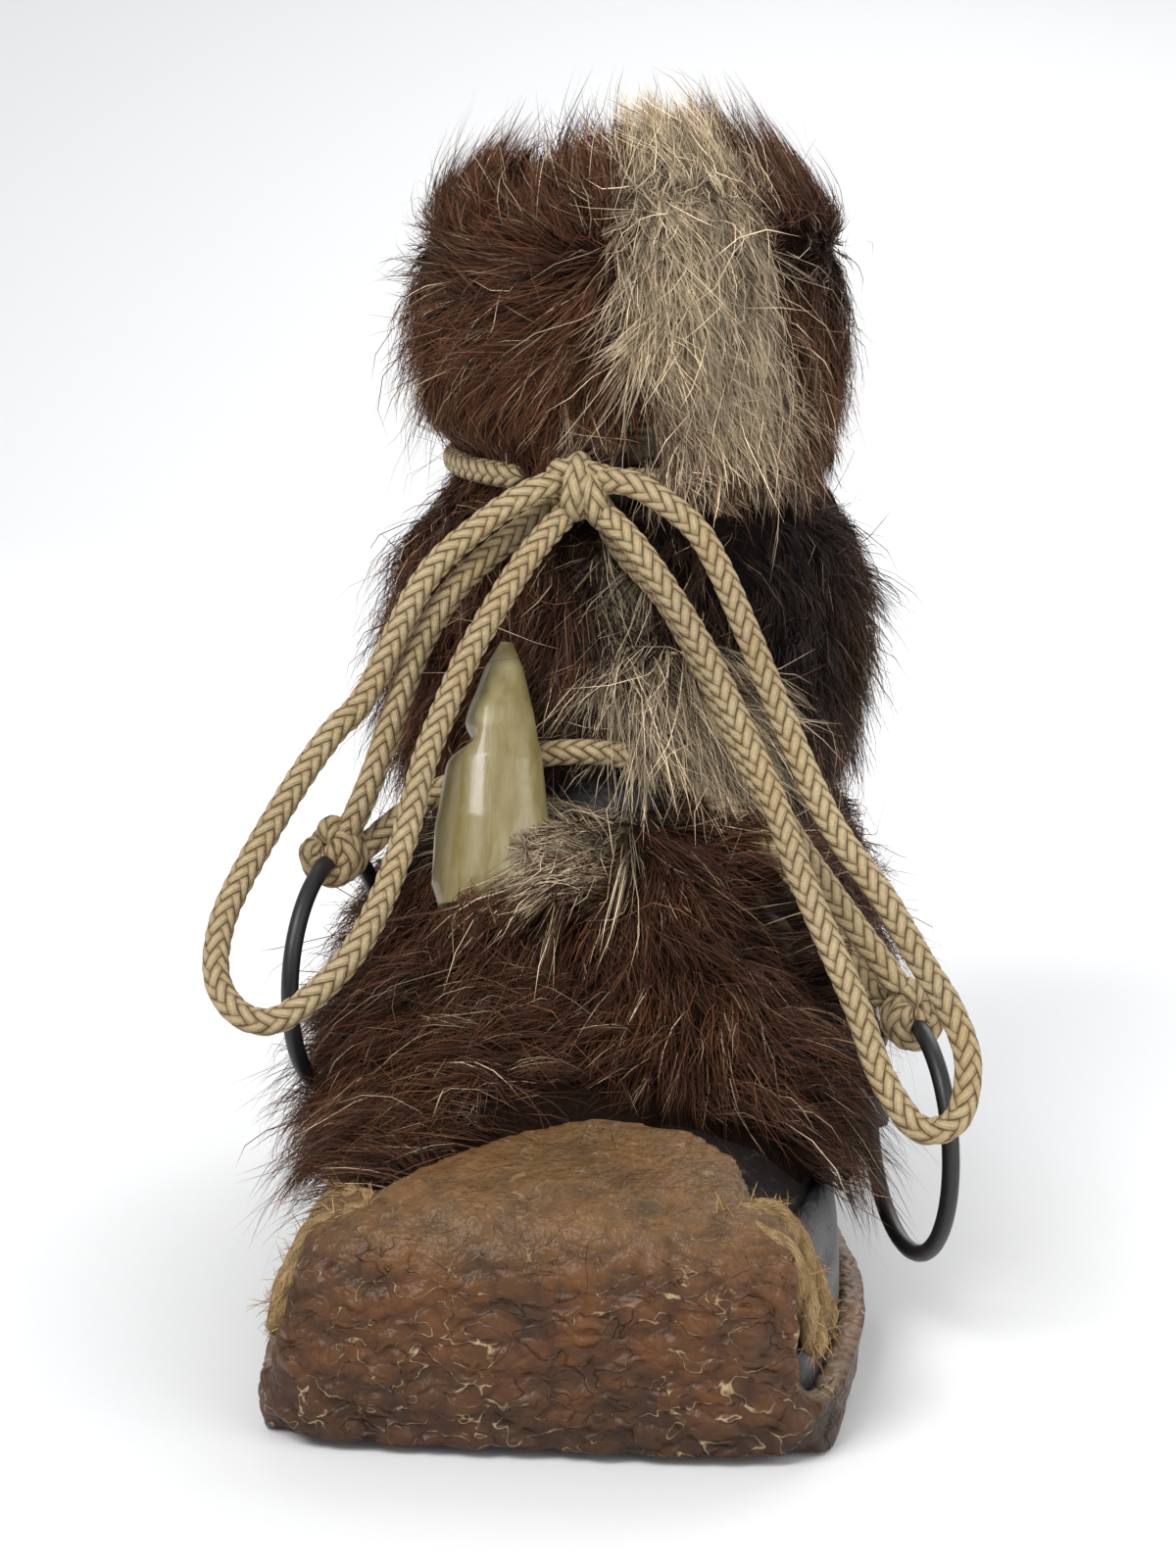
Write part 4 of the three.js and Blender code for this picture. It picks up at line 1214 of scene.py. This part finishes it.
def coat_flow(panel, points, normals):
    """The way the hair lies along the skin"""
    x, y, z = points.T
    side = np.tanh(x / 16)
    if panel == "foot":
        side = np.tanh((x - 8 + 24 * soft_noise(points, 21.0, 84)) / 32)
        forward = smooth(-y, -10, 70)
        low = 1 - smooth(z, 52, 92)
        flow = np.stack([side * mix(0.35, mix(0.55, 1.1, low), forward), mix(0.45, -0.15, forward),
                         mix(-0.75, mix(-0.85, -0.3, low), forward)], axis=1)
    elif panel == "shaft":
        flow = np.stack([mix(0.2, 0.75, x < 0) * side, 0.1 * np.sign(y - 60), 0 * x - 1], axis=1)
    else:
        rising = smooth(z + 9 * soft_noise(points, 26.0, 85), 226, 258)
        front = smooth(-y, -75, -20)
        left = mix(0.25, 1.0, x < 0) * smooth(z, 196, 222)
        flow = np.stack([side * mix(0.25, 0.25 + 0.75 * left, front) * mix(1.0, 0.7, rising),
                         0.35 * np.tanh((y - 60) / 25), mix(-0.9, 0.9, rising)], axis=1)
    for weight, patch in patch_weights(panel, points):
        aim = np.array([patch["flow_x"], 0, patch["flow_z"]])
        flow = mix(flow, aim, weight[:, None])
    crest = smooth(z + 11 * soft_noise(points, 1.6, 86), 250, 260)[:, None]
    flow = mix(flow, flow * (1, 1, 0) + (0, 0, 0.9), crest)
    flow = unit(flow - normals * dots(flow, normals)[:, None])
    calm = mix(1.0, 0.35, smooth(z, 190, 205) * (x > 2) * (x < 42))
    swirl = calm * (0.7 * soft_noise(points, 32.0, 81) + 0.75 * soft_noise(points, 14.0, 82)
                    + 0.5 * soft_noise(points, 6.5, 83))
    cross = np.cross(normals, flow)
    return flow * np.cos(swirl)[:, None] + cross * np.sin(swirl)[:, None]


def coat_tone(panel, points, rng, spread=1.0):
    """Colours of the hair's roots and tips: the fur's own paler tips, made much stronger by painted
    shade on the roots and painted highlight on the tips; spread is how much hairs differ
    """
    count = len(points)
    brown = rows_of(colour("fur_colour"))
    dark = rows_of(colour("dark_fur_colour"))
    blond = rows_of(colour("blond_colour"))
    x, y, z = points.T
    drift = 0.5 + 0.5 * soft_noise(points, 24.0, 91)
    if panel == "foot":
        darkness = 0.2 + 0.35 * drift + 0.3 * smooth(x, 30, 50)
    elif panel == "shaft":
        darkness = mix(0.15, 0.95, smooth(x, -28, 4)) * (0.8 + 0.45 * drift)
        darkness = darkness * smooth(-y, -110, -20) + 0.35 * smooth(y, 20, 110)
    else:
        darkness = 0.02 + 0.3 * drift + 0.4 * smooth(x, 28, 40) * smooth(-y, -60, 0)
    darkness = clamp(darkness + rng.normal(0, 0.2, count) * spread, 0, 1)[:, None]
    tone = mix(brown, dark, darkness)
    grey = (rng.random(count) < 0.06 * spread)[:, None]
    tone = np.where(grey, mix(tone, blond, rng.uniform(0.2, 0.75, (count, 1))), tone)
    pale = np.zeros(count)
    for weight, patch in patch_weights(panel, points):
        chance = weight * abs(patch["pale"])
        taken = rng.random(count) < chance
        pale = np.where(taken, np.sign(patch["pale"]) * rng.uniform(0.6, 1.0, count), pale)
    light = clamp(pale, 0, 1)[:, None]
    tone = mix(tone, blond * rng.uniform(0.7, 1.25, (count, 1)), light)
    tone = mix(tone, 0.3 * dark, clamp(-pale, 0, 1)[:, None])
    tone = tone * mix(1.0, rng.uniform(0.65, 1.4, (count, 1)), spread)
    # Painted shade darkens the roots and painted highlight lightens the tips, less so on blond
    # hairs
    return mix(0.22, 0.42, light) * tone, tone * mix(1.85, 1.25, light)


def bezier(start, bend, tip):
    """Points at HAIR_STOPS of the curves from starts to tips that lean towards bends"""
    stops = HAIR_STOPS[None, :, None]
    start, bend, tip = (part[:, None, :] for part in (start, bend, tip))
    return start * (1 - stops) ** 2 + 2 * bend * stops * (1 - stops) + tip * stops ** 2


def ribbons(name, groups):
    """Hairs as thin tapering ribbons, with colours from root to tip"""
    places, tones, corners, starts = [], [], [], []
    first_vert = first_corner = 0
    for paths, facing, width, root_tone, tip_tone in groups:
        count, stops = paths.shape[:2]
        verts = 2 * stops - 1
        across = unit(np.cross(paths[:, -1] - paths[:, 0], facing))
        place = np.empty((count, verts, 3))
        tone = np.empty((count, verts, 3))
        for stop in range(stops):
            share = stop / (stops - 1)
            half = across * (0.5 * width * (1 - 0.45 * share))[:, None] * (share < 1)
            blend = mix(root_tone, tip_tone, share ** 0.8)
            place[:, 2 * stop] = paths[:, stop] - half
            tone[:, 2 * stop] = blend
            if share < 1:
                place[:, 2 * stop + 1] = paths[:, stop] + half
                tone[:, 2 * stop + 1] = blend
        faces = [[2 * stop, 2 * stop + 1, 2 * stop + 3, 2 * stop + 2] for stop in range(stops - 2)]
        flat = np.array(sum(faces, []) + [verts - 3, verts - 2, verts - 1])
        size = len(flat)
        corners.append((first_vert + np.arange(count)[:, None] * verts + flat).ravel())
        starts.append((first_corner + np.arange(count)[:, None] * size
                       + 4 * np.arange(stops - 1)).ravel())
        places.append(place.reshape(-1, 3))
        tones.append(tone.reshape(-1, 3))
        first_vert += count * verts
        first_corner += count * size
    mesh = bpy.data.meshes.new(name)
    mesh.vertices.add(first_vert)
    mesh.vertices.foreach_set("co", (np.vstack(places) * MM).astype(np.float32).ravel())
    mesh.loops.add(first_corner)
    mesh.loops.foreach_set("vertex_index", np.concatenate(corners).astype(np.int32))
    starts = np.concatenate(starts).astype(np.int32)
    mesh.polygons.add(len(starts))
    mesh.polygons.foreach_set("loop_start", starts)
    mesh.update(calc_edges=True)
    mesh.shade_smooth()
    set_tone(mesh, np.vstack(tones))
    return mesh


def buried(points, name):
    """Where the fur hides a cord, as it does right of the knot and of the toggle"""
    x, y, z = points.T
    if name == "instep_tie":
        return x > 7
    if name == "ankle_tie":
        return (x > 4) & (y < 60)
    if name == "tail_inner":
        return z < 92
    return np.zeros(len(points), dtype=bool)


def hard_tree():
    """What the hair may not run into"""
    names = ["outsole", "toggle", "bow_knot", "ankle_tie", "toe_lashing_inner",
             "toe_lashing_outer", "ring_strap_outer", "ring_strap_inner", "ring_knot_outer",
             *ROUTES, *RINGS]
    bm = bmesh.new()
    for name in names:
        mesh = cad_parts[name].data
        hidden = np.flatnonzero(buried(points_of(mesh) / MM, name))
        before = len(bm.verts)
        bm.from_mesh(mesh)
        bm.verts.ensure_lookup_table()
        gone = [bm.verts[before + index] for index in hidden]
        bmesh.ops.delete(bm, geom=gone, context="VERTS")
    bmesh.ops.remove_doubles(bm, verts=bm.verts, dist=1e-6)
    tree = BVHTree.FromBMesh(bm)
    bm.free()
    return tree


def tree_of_points(points):
    tree = KDTree(len(points))
    for index, point in enumerate(points):
        tree.insert(point, index)
    tree.balance()
    return tree


# Locks led to a place: panel, middle and reach of their roots, tips and the spread of these
LED_LOCKS = (
    ("foot", (52, -62, 82), 15, (75, -67, 68), 5.5),
    ("foot", (46, -72, 74), 12, (68, -76, 60), 5.0),
)

# What fur is combed over besides cords: places, half sizes and the way out
COVERED = (
    ((71, -49, 80), 8.0, (0.4, -0.9, 0.0)), ((73, -49, 72), 8.0, (0.4, -0.9, 0.0)),
    ((67, -48, 86), 5.0, (0.4, -0.9, 0.0)), ((-13, -43, 101), 8.0, (0.1, -0.95, 0.2)),
    ((-16, -41, 106), 7.5, (0.1, -0.95, 0.2)), ((-21, -47, 96), 8.5, (0.1, -0.95, 0.2)),
)


def cord_places():
    """Where the cords lie on the fur, and what it hides, with half sizes and ways out"""
    shown, hidden = [], []
    for name, route in {**ROUTES, "ankle_tie": ankle_route()}.items():
        line = smooth_line(route, 2.5)
        under = buried(line, name)
        shown.append(line[~under])
        hidden.append(line[under & (line[:, 0] < 60)])
    shown, hidden = np.vstack(shown), np.vstack(hidden)
    sizes = np.concatenate([np.full(len(hidden), CORD_RADIUS), [size for _, size, _ in COVERED]])
    ways = np.vstack([np.zeros_like(hidden), [unit(rows_of(way)) for _, _, way in COVERED]])
    hidden = np.vstack([hidden, [place for place, _, _ in COVERED]])
    return shown, (hidden, sizes, ways)


def close_stops(paths, places, reach):
    """Stops of the hairs, past the root, that come within reach of some places"""
    tree = tree_of_points(places)
    for stop in range(1, paths.shape[1]):
        for index, point in enumerate(paths[:, stop]):
            _, near, distance = tree.find(point)
            if distance <= reach[near]:
                yield index, stop, near, distance


def above_and_aside(offset, way, distance):
    above = offset.dot(way)
    return above, math.sqrt(max(distance ** 2 - above ** 2, 0))


def tucked(paths, normals, lines):
    """Presses hair down where a cord lies on it"""
    room = CORD_RADIUS + 1.0
    for index, stop, near, distance in close_stops(paths, lines, np.full(len(lines), 12.0)):
        offset = paths[index, stop] - lines[near]
        above, aside = above_and_aside(offset, normals[index], distance)
        ceiling = -room + max(0, aside - 2.2) * 1.6
        if above > ceiling:
            paths[index, stop] -= normals[index] * (above - ceiling)
    return paths


def raised(paths, normals, places, sizes, ways):
    """Combs hair over what it hides"""
    for index, stop, near, distance in close_stops(paths, places, sizes + 9):
        way = ways[near] if ways[near].any() else normals[index]
        above, aside = above_and_aside(paths[index, stop] - places[near], way, distance)
        floor = sizes[near] + 1.2 - max(0, aside - 0.6 * sizes[near]) * 1.1
        if above < floor:
            paths[index, stop] += way * (floor - above)
    return paths


def clear_of(paths, tree):
    """Which hairs stay out of the hard pieces"""
    keep = np.ones(len(paths), dtype=bool)
    for stop in range(1, paths.shape[1]):
        for index, point in enumerate(paths[:, stop]):
            if not keep[index]:
                continue
            near, normal, _, distance = tree.find_nearest(Vector(point) * MM, 0.012)
            if near is not None and (Vector(point) * MM - near).dot(normal) < 0.0003:
                keep[index] = False
    return keep


def over_flap(paths):
    """Which hairs lie over the hide's fold"""
    x, y, z = paths[:, 1:].reshape(-1, 3).T
    edge = np.interp(x, *FLAP_EDGE) + 2.5
    over = (y < edge) & (np.abs(x - 1) < 47) & (z < 66)
    return over.reshape(len(paths), -1).any(axis=1)


def skin_samples(panel, side, count, rng):
    """Random places on the skin of one side of a panel, more of them where the coat is thick"""
    tries = TRIES_FOR_HAIR * count
    u = rng.uniform(1.2, LAST_SECTION, tries)
    angle = side * rng.uniform(0, math.pi, tries)
    points = body_points(u, angle)
    inside = panel_inside(panel, points) > 0
    u, angle, points = u[inside], angle[inside], points[inside]
    step = 0.01
    patch = np.cross(body_points(np.minimum(u + step, LAST_SECTION), angle) - points,
                     body_points(u, angle + step) - points)
    weight = np.linalg.norm(patch, axis=1) * (1 + 0.7 * smooth(-points[:, 1], -60, 20))
    weight *= patch_factor(panel, points, "hairs") * mix(1.0, 2.6, smooth(points[:, 2], 244, 256))
    pick = rng.choice(len(u), count, replace=False, p=weight / weight.sum())
    return u[pick], angle[pick]


def owners(points, count):
    """For each point, the nearest of the first few, which leads its lock"""
    leaders = tree_of_points(points[:count])
    return np.array([leaders.find(point)[1] for point in points])


def coat(panel, side, counts, seed, hard, cords):
    """The hair of one side of a panel"""
    rng = np.random.default_rng(seed)
    count = sum(counts.values())
    u, angle = skin_samples(panel, side, count, rng)
    kinds = np.repeat(list(counts), list(counts.values()))[rng.permutation(count)]
    normals = body_normals(u, angle)
    skin = body_points(u, angle)
    locks = owners(skin, max(8, count // HAIRS_IN_LOCK))
    tufts = owners(skin, max(30, count // HAIRS_IN_TUFT))

    def fixed(key):
        return np.array([HAIR_KINDS[kind][key] for kind in kinds])

    def drawn(key):
        return rng.uniform(*fixed(key).T)

    def uneven():
        """Factors that differ from lock to lock and from tuft to tuft"""
        return rng.uniform(0.65, 1.35, count)[locks] * rng.uniform(0.75, 1.25, count)[tufts]

    # Which way each hair lies, how far it reaches and how high it stands
    flows = coat_flow(panel, skin, normals)
    across = np.cross(normals, flows)
    turn = rng.normal(0, 0.3, count)[locks] + rng.normal(0, 0.3, count)[tufts]
    turn = turn + rng.normal(0, 0.14, count)
    stray = (rng.random(count) < STRAY_SHARE) & (kinds == "long")
    turn = (turn + np.where(stray, rng.normal(0, 0.7, count), 0))[:, None]
    flows = flows * np.cos(turn) + across * np.sin(turn)
    across = np.cross(normals, flows)
    depth = panel_depth(panel, skin[:, 2], angle)
    depth = depth * mix(0.5, 1.0, smooth(panel_inside(panel, skin), -2, 9))
    lift = uneven()
    lift *= patch_factor(panel, skin, "lift") * (1 + 0.5 * smooth(-normals[:, 0], 0.5, 0.9))
    reach = drawn("reach") * rng.uniform(0.8, 1.2, count)[tufts]
    reach *= patch_factor(panel, skin, "reach") * mix(1.0, 0.8, smooth(skin[:, 2], 240, 256))
    rise, height = depth * drawn("rise") * lift, depth * drawn("height") * lift
    roots = skin + normals * (0.4 * depth)[:, None]
    bend = roots + normals * rise[:, None] + flows * (0.34 * reach)[:, None]
    tip = roots + normals * height[:, None] + flows * reach[:, None]
    tip[:, 2] -= rng.uniform(0, 2.5, count) * (1 - smooth(skin[:, 2], 240, 250))
    placed = np.zeros(count, dtype=bool)
    for name, middle, radius, aim, spread in LED_LOCKS:
        chosen = (np.linalg.norm(skin - middle, axis=1) < radius) & (rng.random(count) < 0.6)
        chosen &= name == panel
        target = aim + spread * rng.normal(size=(count, 3)) * (1, 0.4, 1)
        tip = np.where(chosen[:, None], target, tip)
        bend = np.where(chosen[:, None], mix(roots, target, 0.5) + (3, -7, 5), bend)
        placed |= chosen
    paths = bezier(roots, bend, tip)

    # Waves along the hairs, and their pull towards the leaders of their locks and tufts
    stops = HAIR_STOPS[None, :]
    phase = rng.uniform(0, 2 * math.pi, count)[tufts] + rng.normal(0, 0.8, count)
    speed = rng.uniform(3.0, 6.0, count)
    wave = (np.sin(phase[:, None] + speed[:, None] * stops) - np.sin(phase)[:, None]) * stops
    wave *= (fixed("wave") * rng.uniform(0.3, 1.6, count) * np.where(stray, 2.4, 1.0))[:, None]
    sway = 0.5 * wave[:, ::-1] * stops
    paths = paths + across[:, None] * wave[:, :, None] + normals[:, None] * sway[:, :, None]
    for leader, share, tight in ((locks, 0, 0.6), (tufts, 1, 0.8)):
        pull = rng.uniform(0.3, 1.4, count) * fixed("locks")[:, share]
        pull = clamp(pull * np.where(stray | placed, 0.15, 1.0), 0, 0.95)
        spread = (1 - tight * stops)[:, :, None]
        led = paths[leader] + (roots - roots[leader])[:, None] * spread
        paths = mix(paths, led, (pull[:, None] * stops)[:, :, None])

    # What the collar, the cords and the hard pieces do to them
    paths -= normals[:, None] * collar_lean(paths[:, :, 2])[:, :, None]
    paths[:, :, 2] = np.minimum(paths[:, :, 2], HIGHEST_TIP)
    lines, hidden = cords
    paths[~placed] = tucked(paths[~placed], normals[~placed], lines)
    paths = raised(paths, normals, *hidden)
    keep = clear_of(paths, hard) & (~over_flap(paths) | (rng.random(count) < 0.07))

    root_tone, tip_tone = coat_tone(panel, skin, rng)
    lock_tone = (uneven() * fixed("light") * np.where(stray, 1.6, 1.0))[:, None]
    roll = unit(normals + 0.6 * rng.normal(size=(count, 3)))
    width = settings().hair_width * rng.uniform(0.7, 1.25, count) * fixed("width")
    facts = (roll, width, root_tone * lock_tone, tip_tone * lock_tone)
    groups = []
    for kind, pick in (("under", slice(None, None, 2)), ("long", slice(None))):
        use = keep & (kinds == kind)
        groups.append((paths[use][:, pick], *(fact[use] for fact in facts)))
    return ribbons(f"hair_{panel}", groups)


def pile_mesh(panel):
    """The soft mass under a panel's hair, without what lies outside the panel"""
    def grow(u, angle):
        skin = body_points(u, angle)
        depth = panel_depth(panel, skin[:, 2], angle)
        lumps = 1 + 0.22 * soft_noise(skin, 9.0, 51) + 0.12 * soft_noise(skin, 4.0, 52)
        inside = smooth(panel_inside(panel, skin), -1, 7)
        return mix(-1.2, 0.5 * depth * lumps, inside) - collar_lean(skin[:, 2])

    mesh = body_mesh(f"pile_{panel}", 110, 210, 0.5, LAST_SECTION, grow)
    points = points_of(mesh) / MM
    inside = panel_inside(panel, points)
    if panel == "cuff":
        crown = cuff_top(points)
        inside[points[:, 2] > crown] = -FAR
        points[:, 2] = np.minimum(points[:, 2], crown)
        set_points(mesh, points * MM)

    def work(bm):
        bare = [face for face in bm.faces if all(inside[vert.index] < -9 for vert in face.verts)]
        bmesh.ops.delete(bm, geom=bare, context="FACES")
    return edited(mesh, work)


def build_piles():
    finish = pile_finish()
    for panel in PANELS:
        mesh = pile_mesh(panel)
        rng = np.random.default_rng(61)
        root_tone, tip_tone = coat_tone(panel, points_of(mesh) / MM, rng, 0.0)
        # The pile takes mostly the roots' darkened tone: painted shade under the hair
        set_tone(mesh, 0.6 * root_tone + 0.1 * tip_tone)
        wall(new_piece(f"pile_{panel}", mesh, "fur", finish, f"fur_{panel}"), PILE_WALL)


def build_hair():
    finish = hair_finish()
    hard = hard_tree()
    cords = cord_places()
    share = 1
    counts = {"under": settings().under_hairs // share, "long": settings().long_hairs // share}
    for index, panel in enumerate(PANELS):
        for side, word in ((1, "inner"), (-1, "outer")):
            mesh = coat(panel, side, counts, 100 + 10 * index + side, hard, cords)
            new_piece(f"hair_{panel}_{word}", mesh, "fur", finish)


# Stage

# The photo's size, focal length and middle of the boot in pixels, and its pitch in degrees
PHOTO_SIZE = (1200, 1600)
PHOTO_FOCAL = 2600.0
PHOTO_PITCH = 11.6
BOOT_IN_PHOTO = (315, 812)
CAMERA_PLACE = (87, -830, 289)
ZOOM = 1.4

# Lamps: name, place and size in metres, and watts
LAMPS = (
    ("key", (-0.7, -1.1, 1.5), 0.9, 26),
    ("fill", (1.2, -0.9, 0.7), 1.2, 9),
    ("back", (0.3, 1.2, 1.2), 1.2, 16),
)

# The floor runs flat to a place behind the boot and then bends up, in metres
FLOOR_FLAT = 1.2
FLOOR_BEND = 1.4


def build_camera():
    """A camera where the photo's stood, which frames the one boot"""
    data = bpy.data.cameras.new("camera")
    camera = in_scene("camera", data)
    bpy.context.scene.camera = camera
    pitch = math.radians(PHOTO_PITCH)
    forward = Vector((0, math.cos(pitch), -math.sin(pitch)))
    up = Vector((0, math.sin(pitch), math.cos(pitch)))
    aim_x = (BOOT_IN_PHOTO[0] - PHOTO_SIZE[0] / 2) / PHOTO_FOCAL
    aim_y = (PHOTO_SIZE[1] / 2 - BOOT_IN_PHOTO[1]) / PHOTO_FOCAL
    view = forward + aim_x * Vector((1, 0, 0)) + aim_y * up
    camera.location = Vector(CAMERA_PLACE) * MM
    camera.rotation_euler = view.to_track_quat("-Z", "Y").to_euler()
    data.sensor_fit = "HORIZONTAL"
    data.sensor_width = 36
    data.lens = PHOTO_FOCAL * ZOOM / PHOTO_SIZE[0] * data.sensor_width
    data.clip_start = 0.01


def build_floor():
    """A floor that bends up into a backdrop"""
    def place(x, y):
        run = mix(-1.6, 3.2, y)
        bend = clamp((run - FLOOR_FLAT) / FLOOR_BEND, 0, 1) * math.pi / 2
        height = (1 - np.cos(bend)) * FLOOR_BEND + clamp(run - FLOOR_FLAT - FLOOR_BEND, 0, 9)
        depth = np.minimum(run, FLOOR_FLAT + np.sin(bend) * FLOOR_BEND)
        return np.stack([mix(-3, 3, x), depth, height], axis=1) / MM

    mesh = grid_mesh("floor", 8, 60, place)
    mesh.shade_smooth()
    mesh.materials.append(floor_finish())
    floor = in_scene("floor", mesh)


def build_stage():
    scene = bpy.context.scene
    build_camera()
    scene.view_settings.view_transform = "Standard"
    scene.world = bpy.data.worlds.new("world")
    scene.world.use_nodes = True
    background = scene.world.node_tree.nodes["Background"]
    background.inputs["Color"].default_value = (0.95, 0.97, 1.0, 1)
    background.inputs["Strength"].default_value = 0.55
    for name, place, size, power in LAMPS:
        data = bpy.data.lights.new(name, "AREA")
        data.size = size
        data.energy = power
        lamp = in_scene(name, data)
        lamp.location = place
        aim = Vector((0, 0, 0.12)) - lamp.location
        lamp.rotation_euler = aim.to_track_quat("-Z", "Y").to_euler()
    build_floor()


# Operators

class BootPiece:
    """What the boot's operators share"""

    bl_options = {"REGISTER", "UNDO"}
    build = None

    def execute(self, context):
        type(self).build()
        return {"FINISHED"}


class BOOT_OT_stage(BootPiece, bpy.types.Operator):
    """Set the camera, the lights and the floor"""
    bl_idname = "boot.stage"
    bl_label = "Camera, lights and floor"
    build = staticmethod(build_stage)


class BOOT_OT_cords(BootPiece, bpy.types.Operator):
    """Tie the braided cords, their bow and the ring knots"""
    bl_idname = "boot.cords"
    bl_label = "Cords and knots"
    build = staticmethod(build_cords)


class BOOT_OT_outsole(BootPiece, bpy.types.Operator):
    """Crinkle the hide sole and its fold over the toe"""
    bl_idname = "boot.outsole"
    bl_label = "Hide sole"
    build = staticmethod(build_outsole)


class BOOT_OT_leather(BootPiece, bpy.types.Operator):
    """Make the leather upper, its rand and the insole's felt"""
    bl_idname = "boot.leather"
    bl_label = "Leather upper"
    build = staticmethod(build_leather)


class BOOT_OT_rings(BootPiece, bpy.types.Operator):
    """Bend the wire rings and fold their leather straps"""
    bl_idname = "boot.rings"
    bl_label = "Rings and straps"
    build = staticmethod(build_rings)


class BOOT_OT_lashings(BootPiece, bpy.types.Operator):
    """Wind the twine beside the toe's fold"""
    bl_idname = "boot.lashings"
    bl_label = "Toe lashings"
    build = staticmethod(build_lashings)


class BOOT_OT_toggle(BootPiece, bpy.types.Operator):
    """Carve the horn toggle"""
    bl_idname = "boot.toggle"
    bl_label = "Horn toggle"
    build = staticmethod(build_toggle)


class BOOT_OT_piles(BootPiece, bpy.types.Operator):
    """Lay the soft pile of the three fur panels"""
    bl_idname = "boot.piles"
    bl_label = "Fur pile"
    build = staticmethod(build_piles)


class BOOT_OT_hair(BootPiece, bpy.types.Operator):
    """Grow the hair of the three fur panels"""
    bl_idname = "boot.hair"
    bl_label = "Fur hair"
    build = staticmethod(build_hair)


OPERATORS = (
    BOOT_OT_stage, BOOT_OT_cords, BOOT_OT_outsole, BOOT_OT_leather, BOOT_OT_rings,
    BOOT_OT_lashings, BOOT_OT_toggle, BOOT_OT_piles, BOOT_OT_hair,
)


class BOOT_PT_pieces(bpy.types.Panel):
    """The boot's pieces and finish"""
    bl_label = "Fur boot"
    bl_idname = "BOOT_PT_pieces"
    bl_space_type = "VIEW_3D"
    bl_region_type = "UI"
    bl_category = "Boot"

    def draw(self, context):
        for name in BootSettings.__annotations__:
            self.layout.prop(context.scene.boot, name)
        for operator in OPERATORS:
            self.layout.operator(operator.bl_idname)


CLASSES = (BootSettings, *OPERATORS, BOOT_PT_pieces)


def register():
    for cls in CLASSES:
        bpy.utils.register_class(cls)
    bpy.types.Scene.boot = PointerProperty(type=BootSettings)


def unregister():
    del bpy.types.Scene.boot
    for cls in reversed(CLASSES):
        bpy.utils.unregister_class(cls)


def main():
    register()
    for operator in OPERATORS:
        group, name = operator.bl_idname.split(".")
        getattr(getattr(bpy.ops, group), name)()


if __name__ == "__main__":
    main()
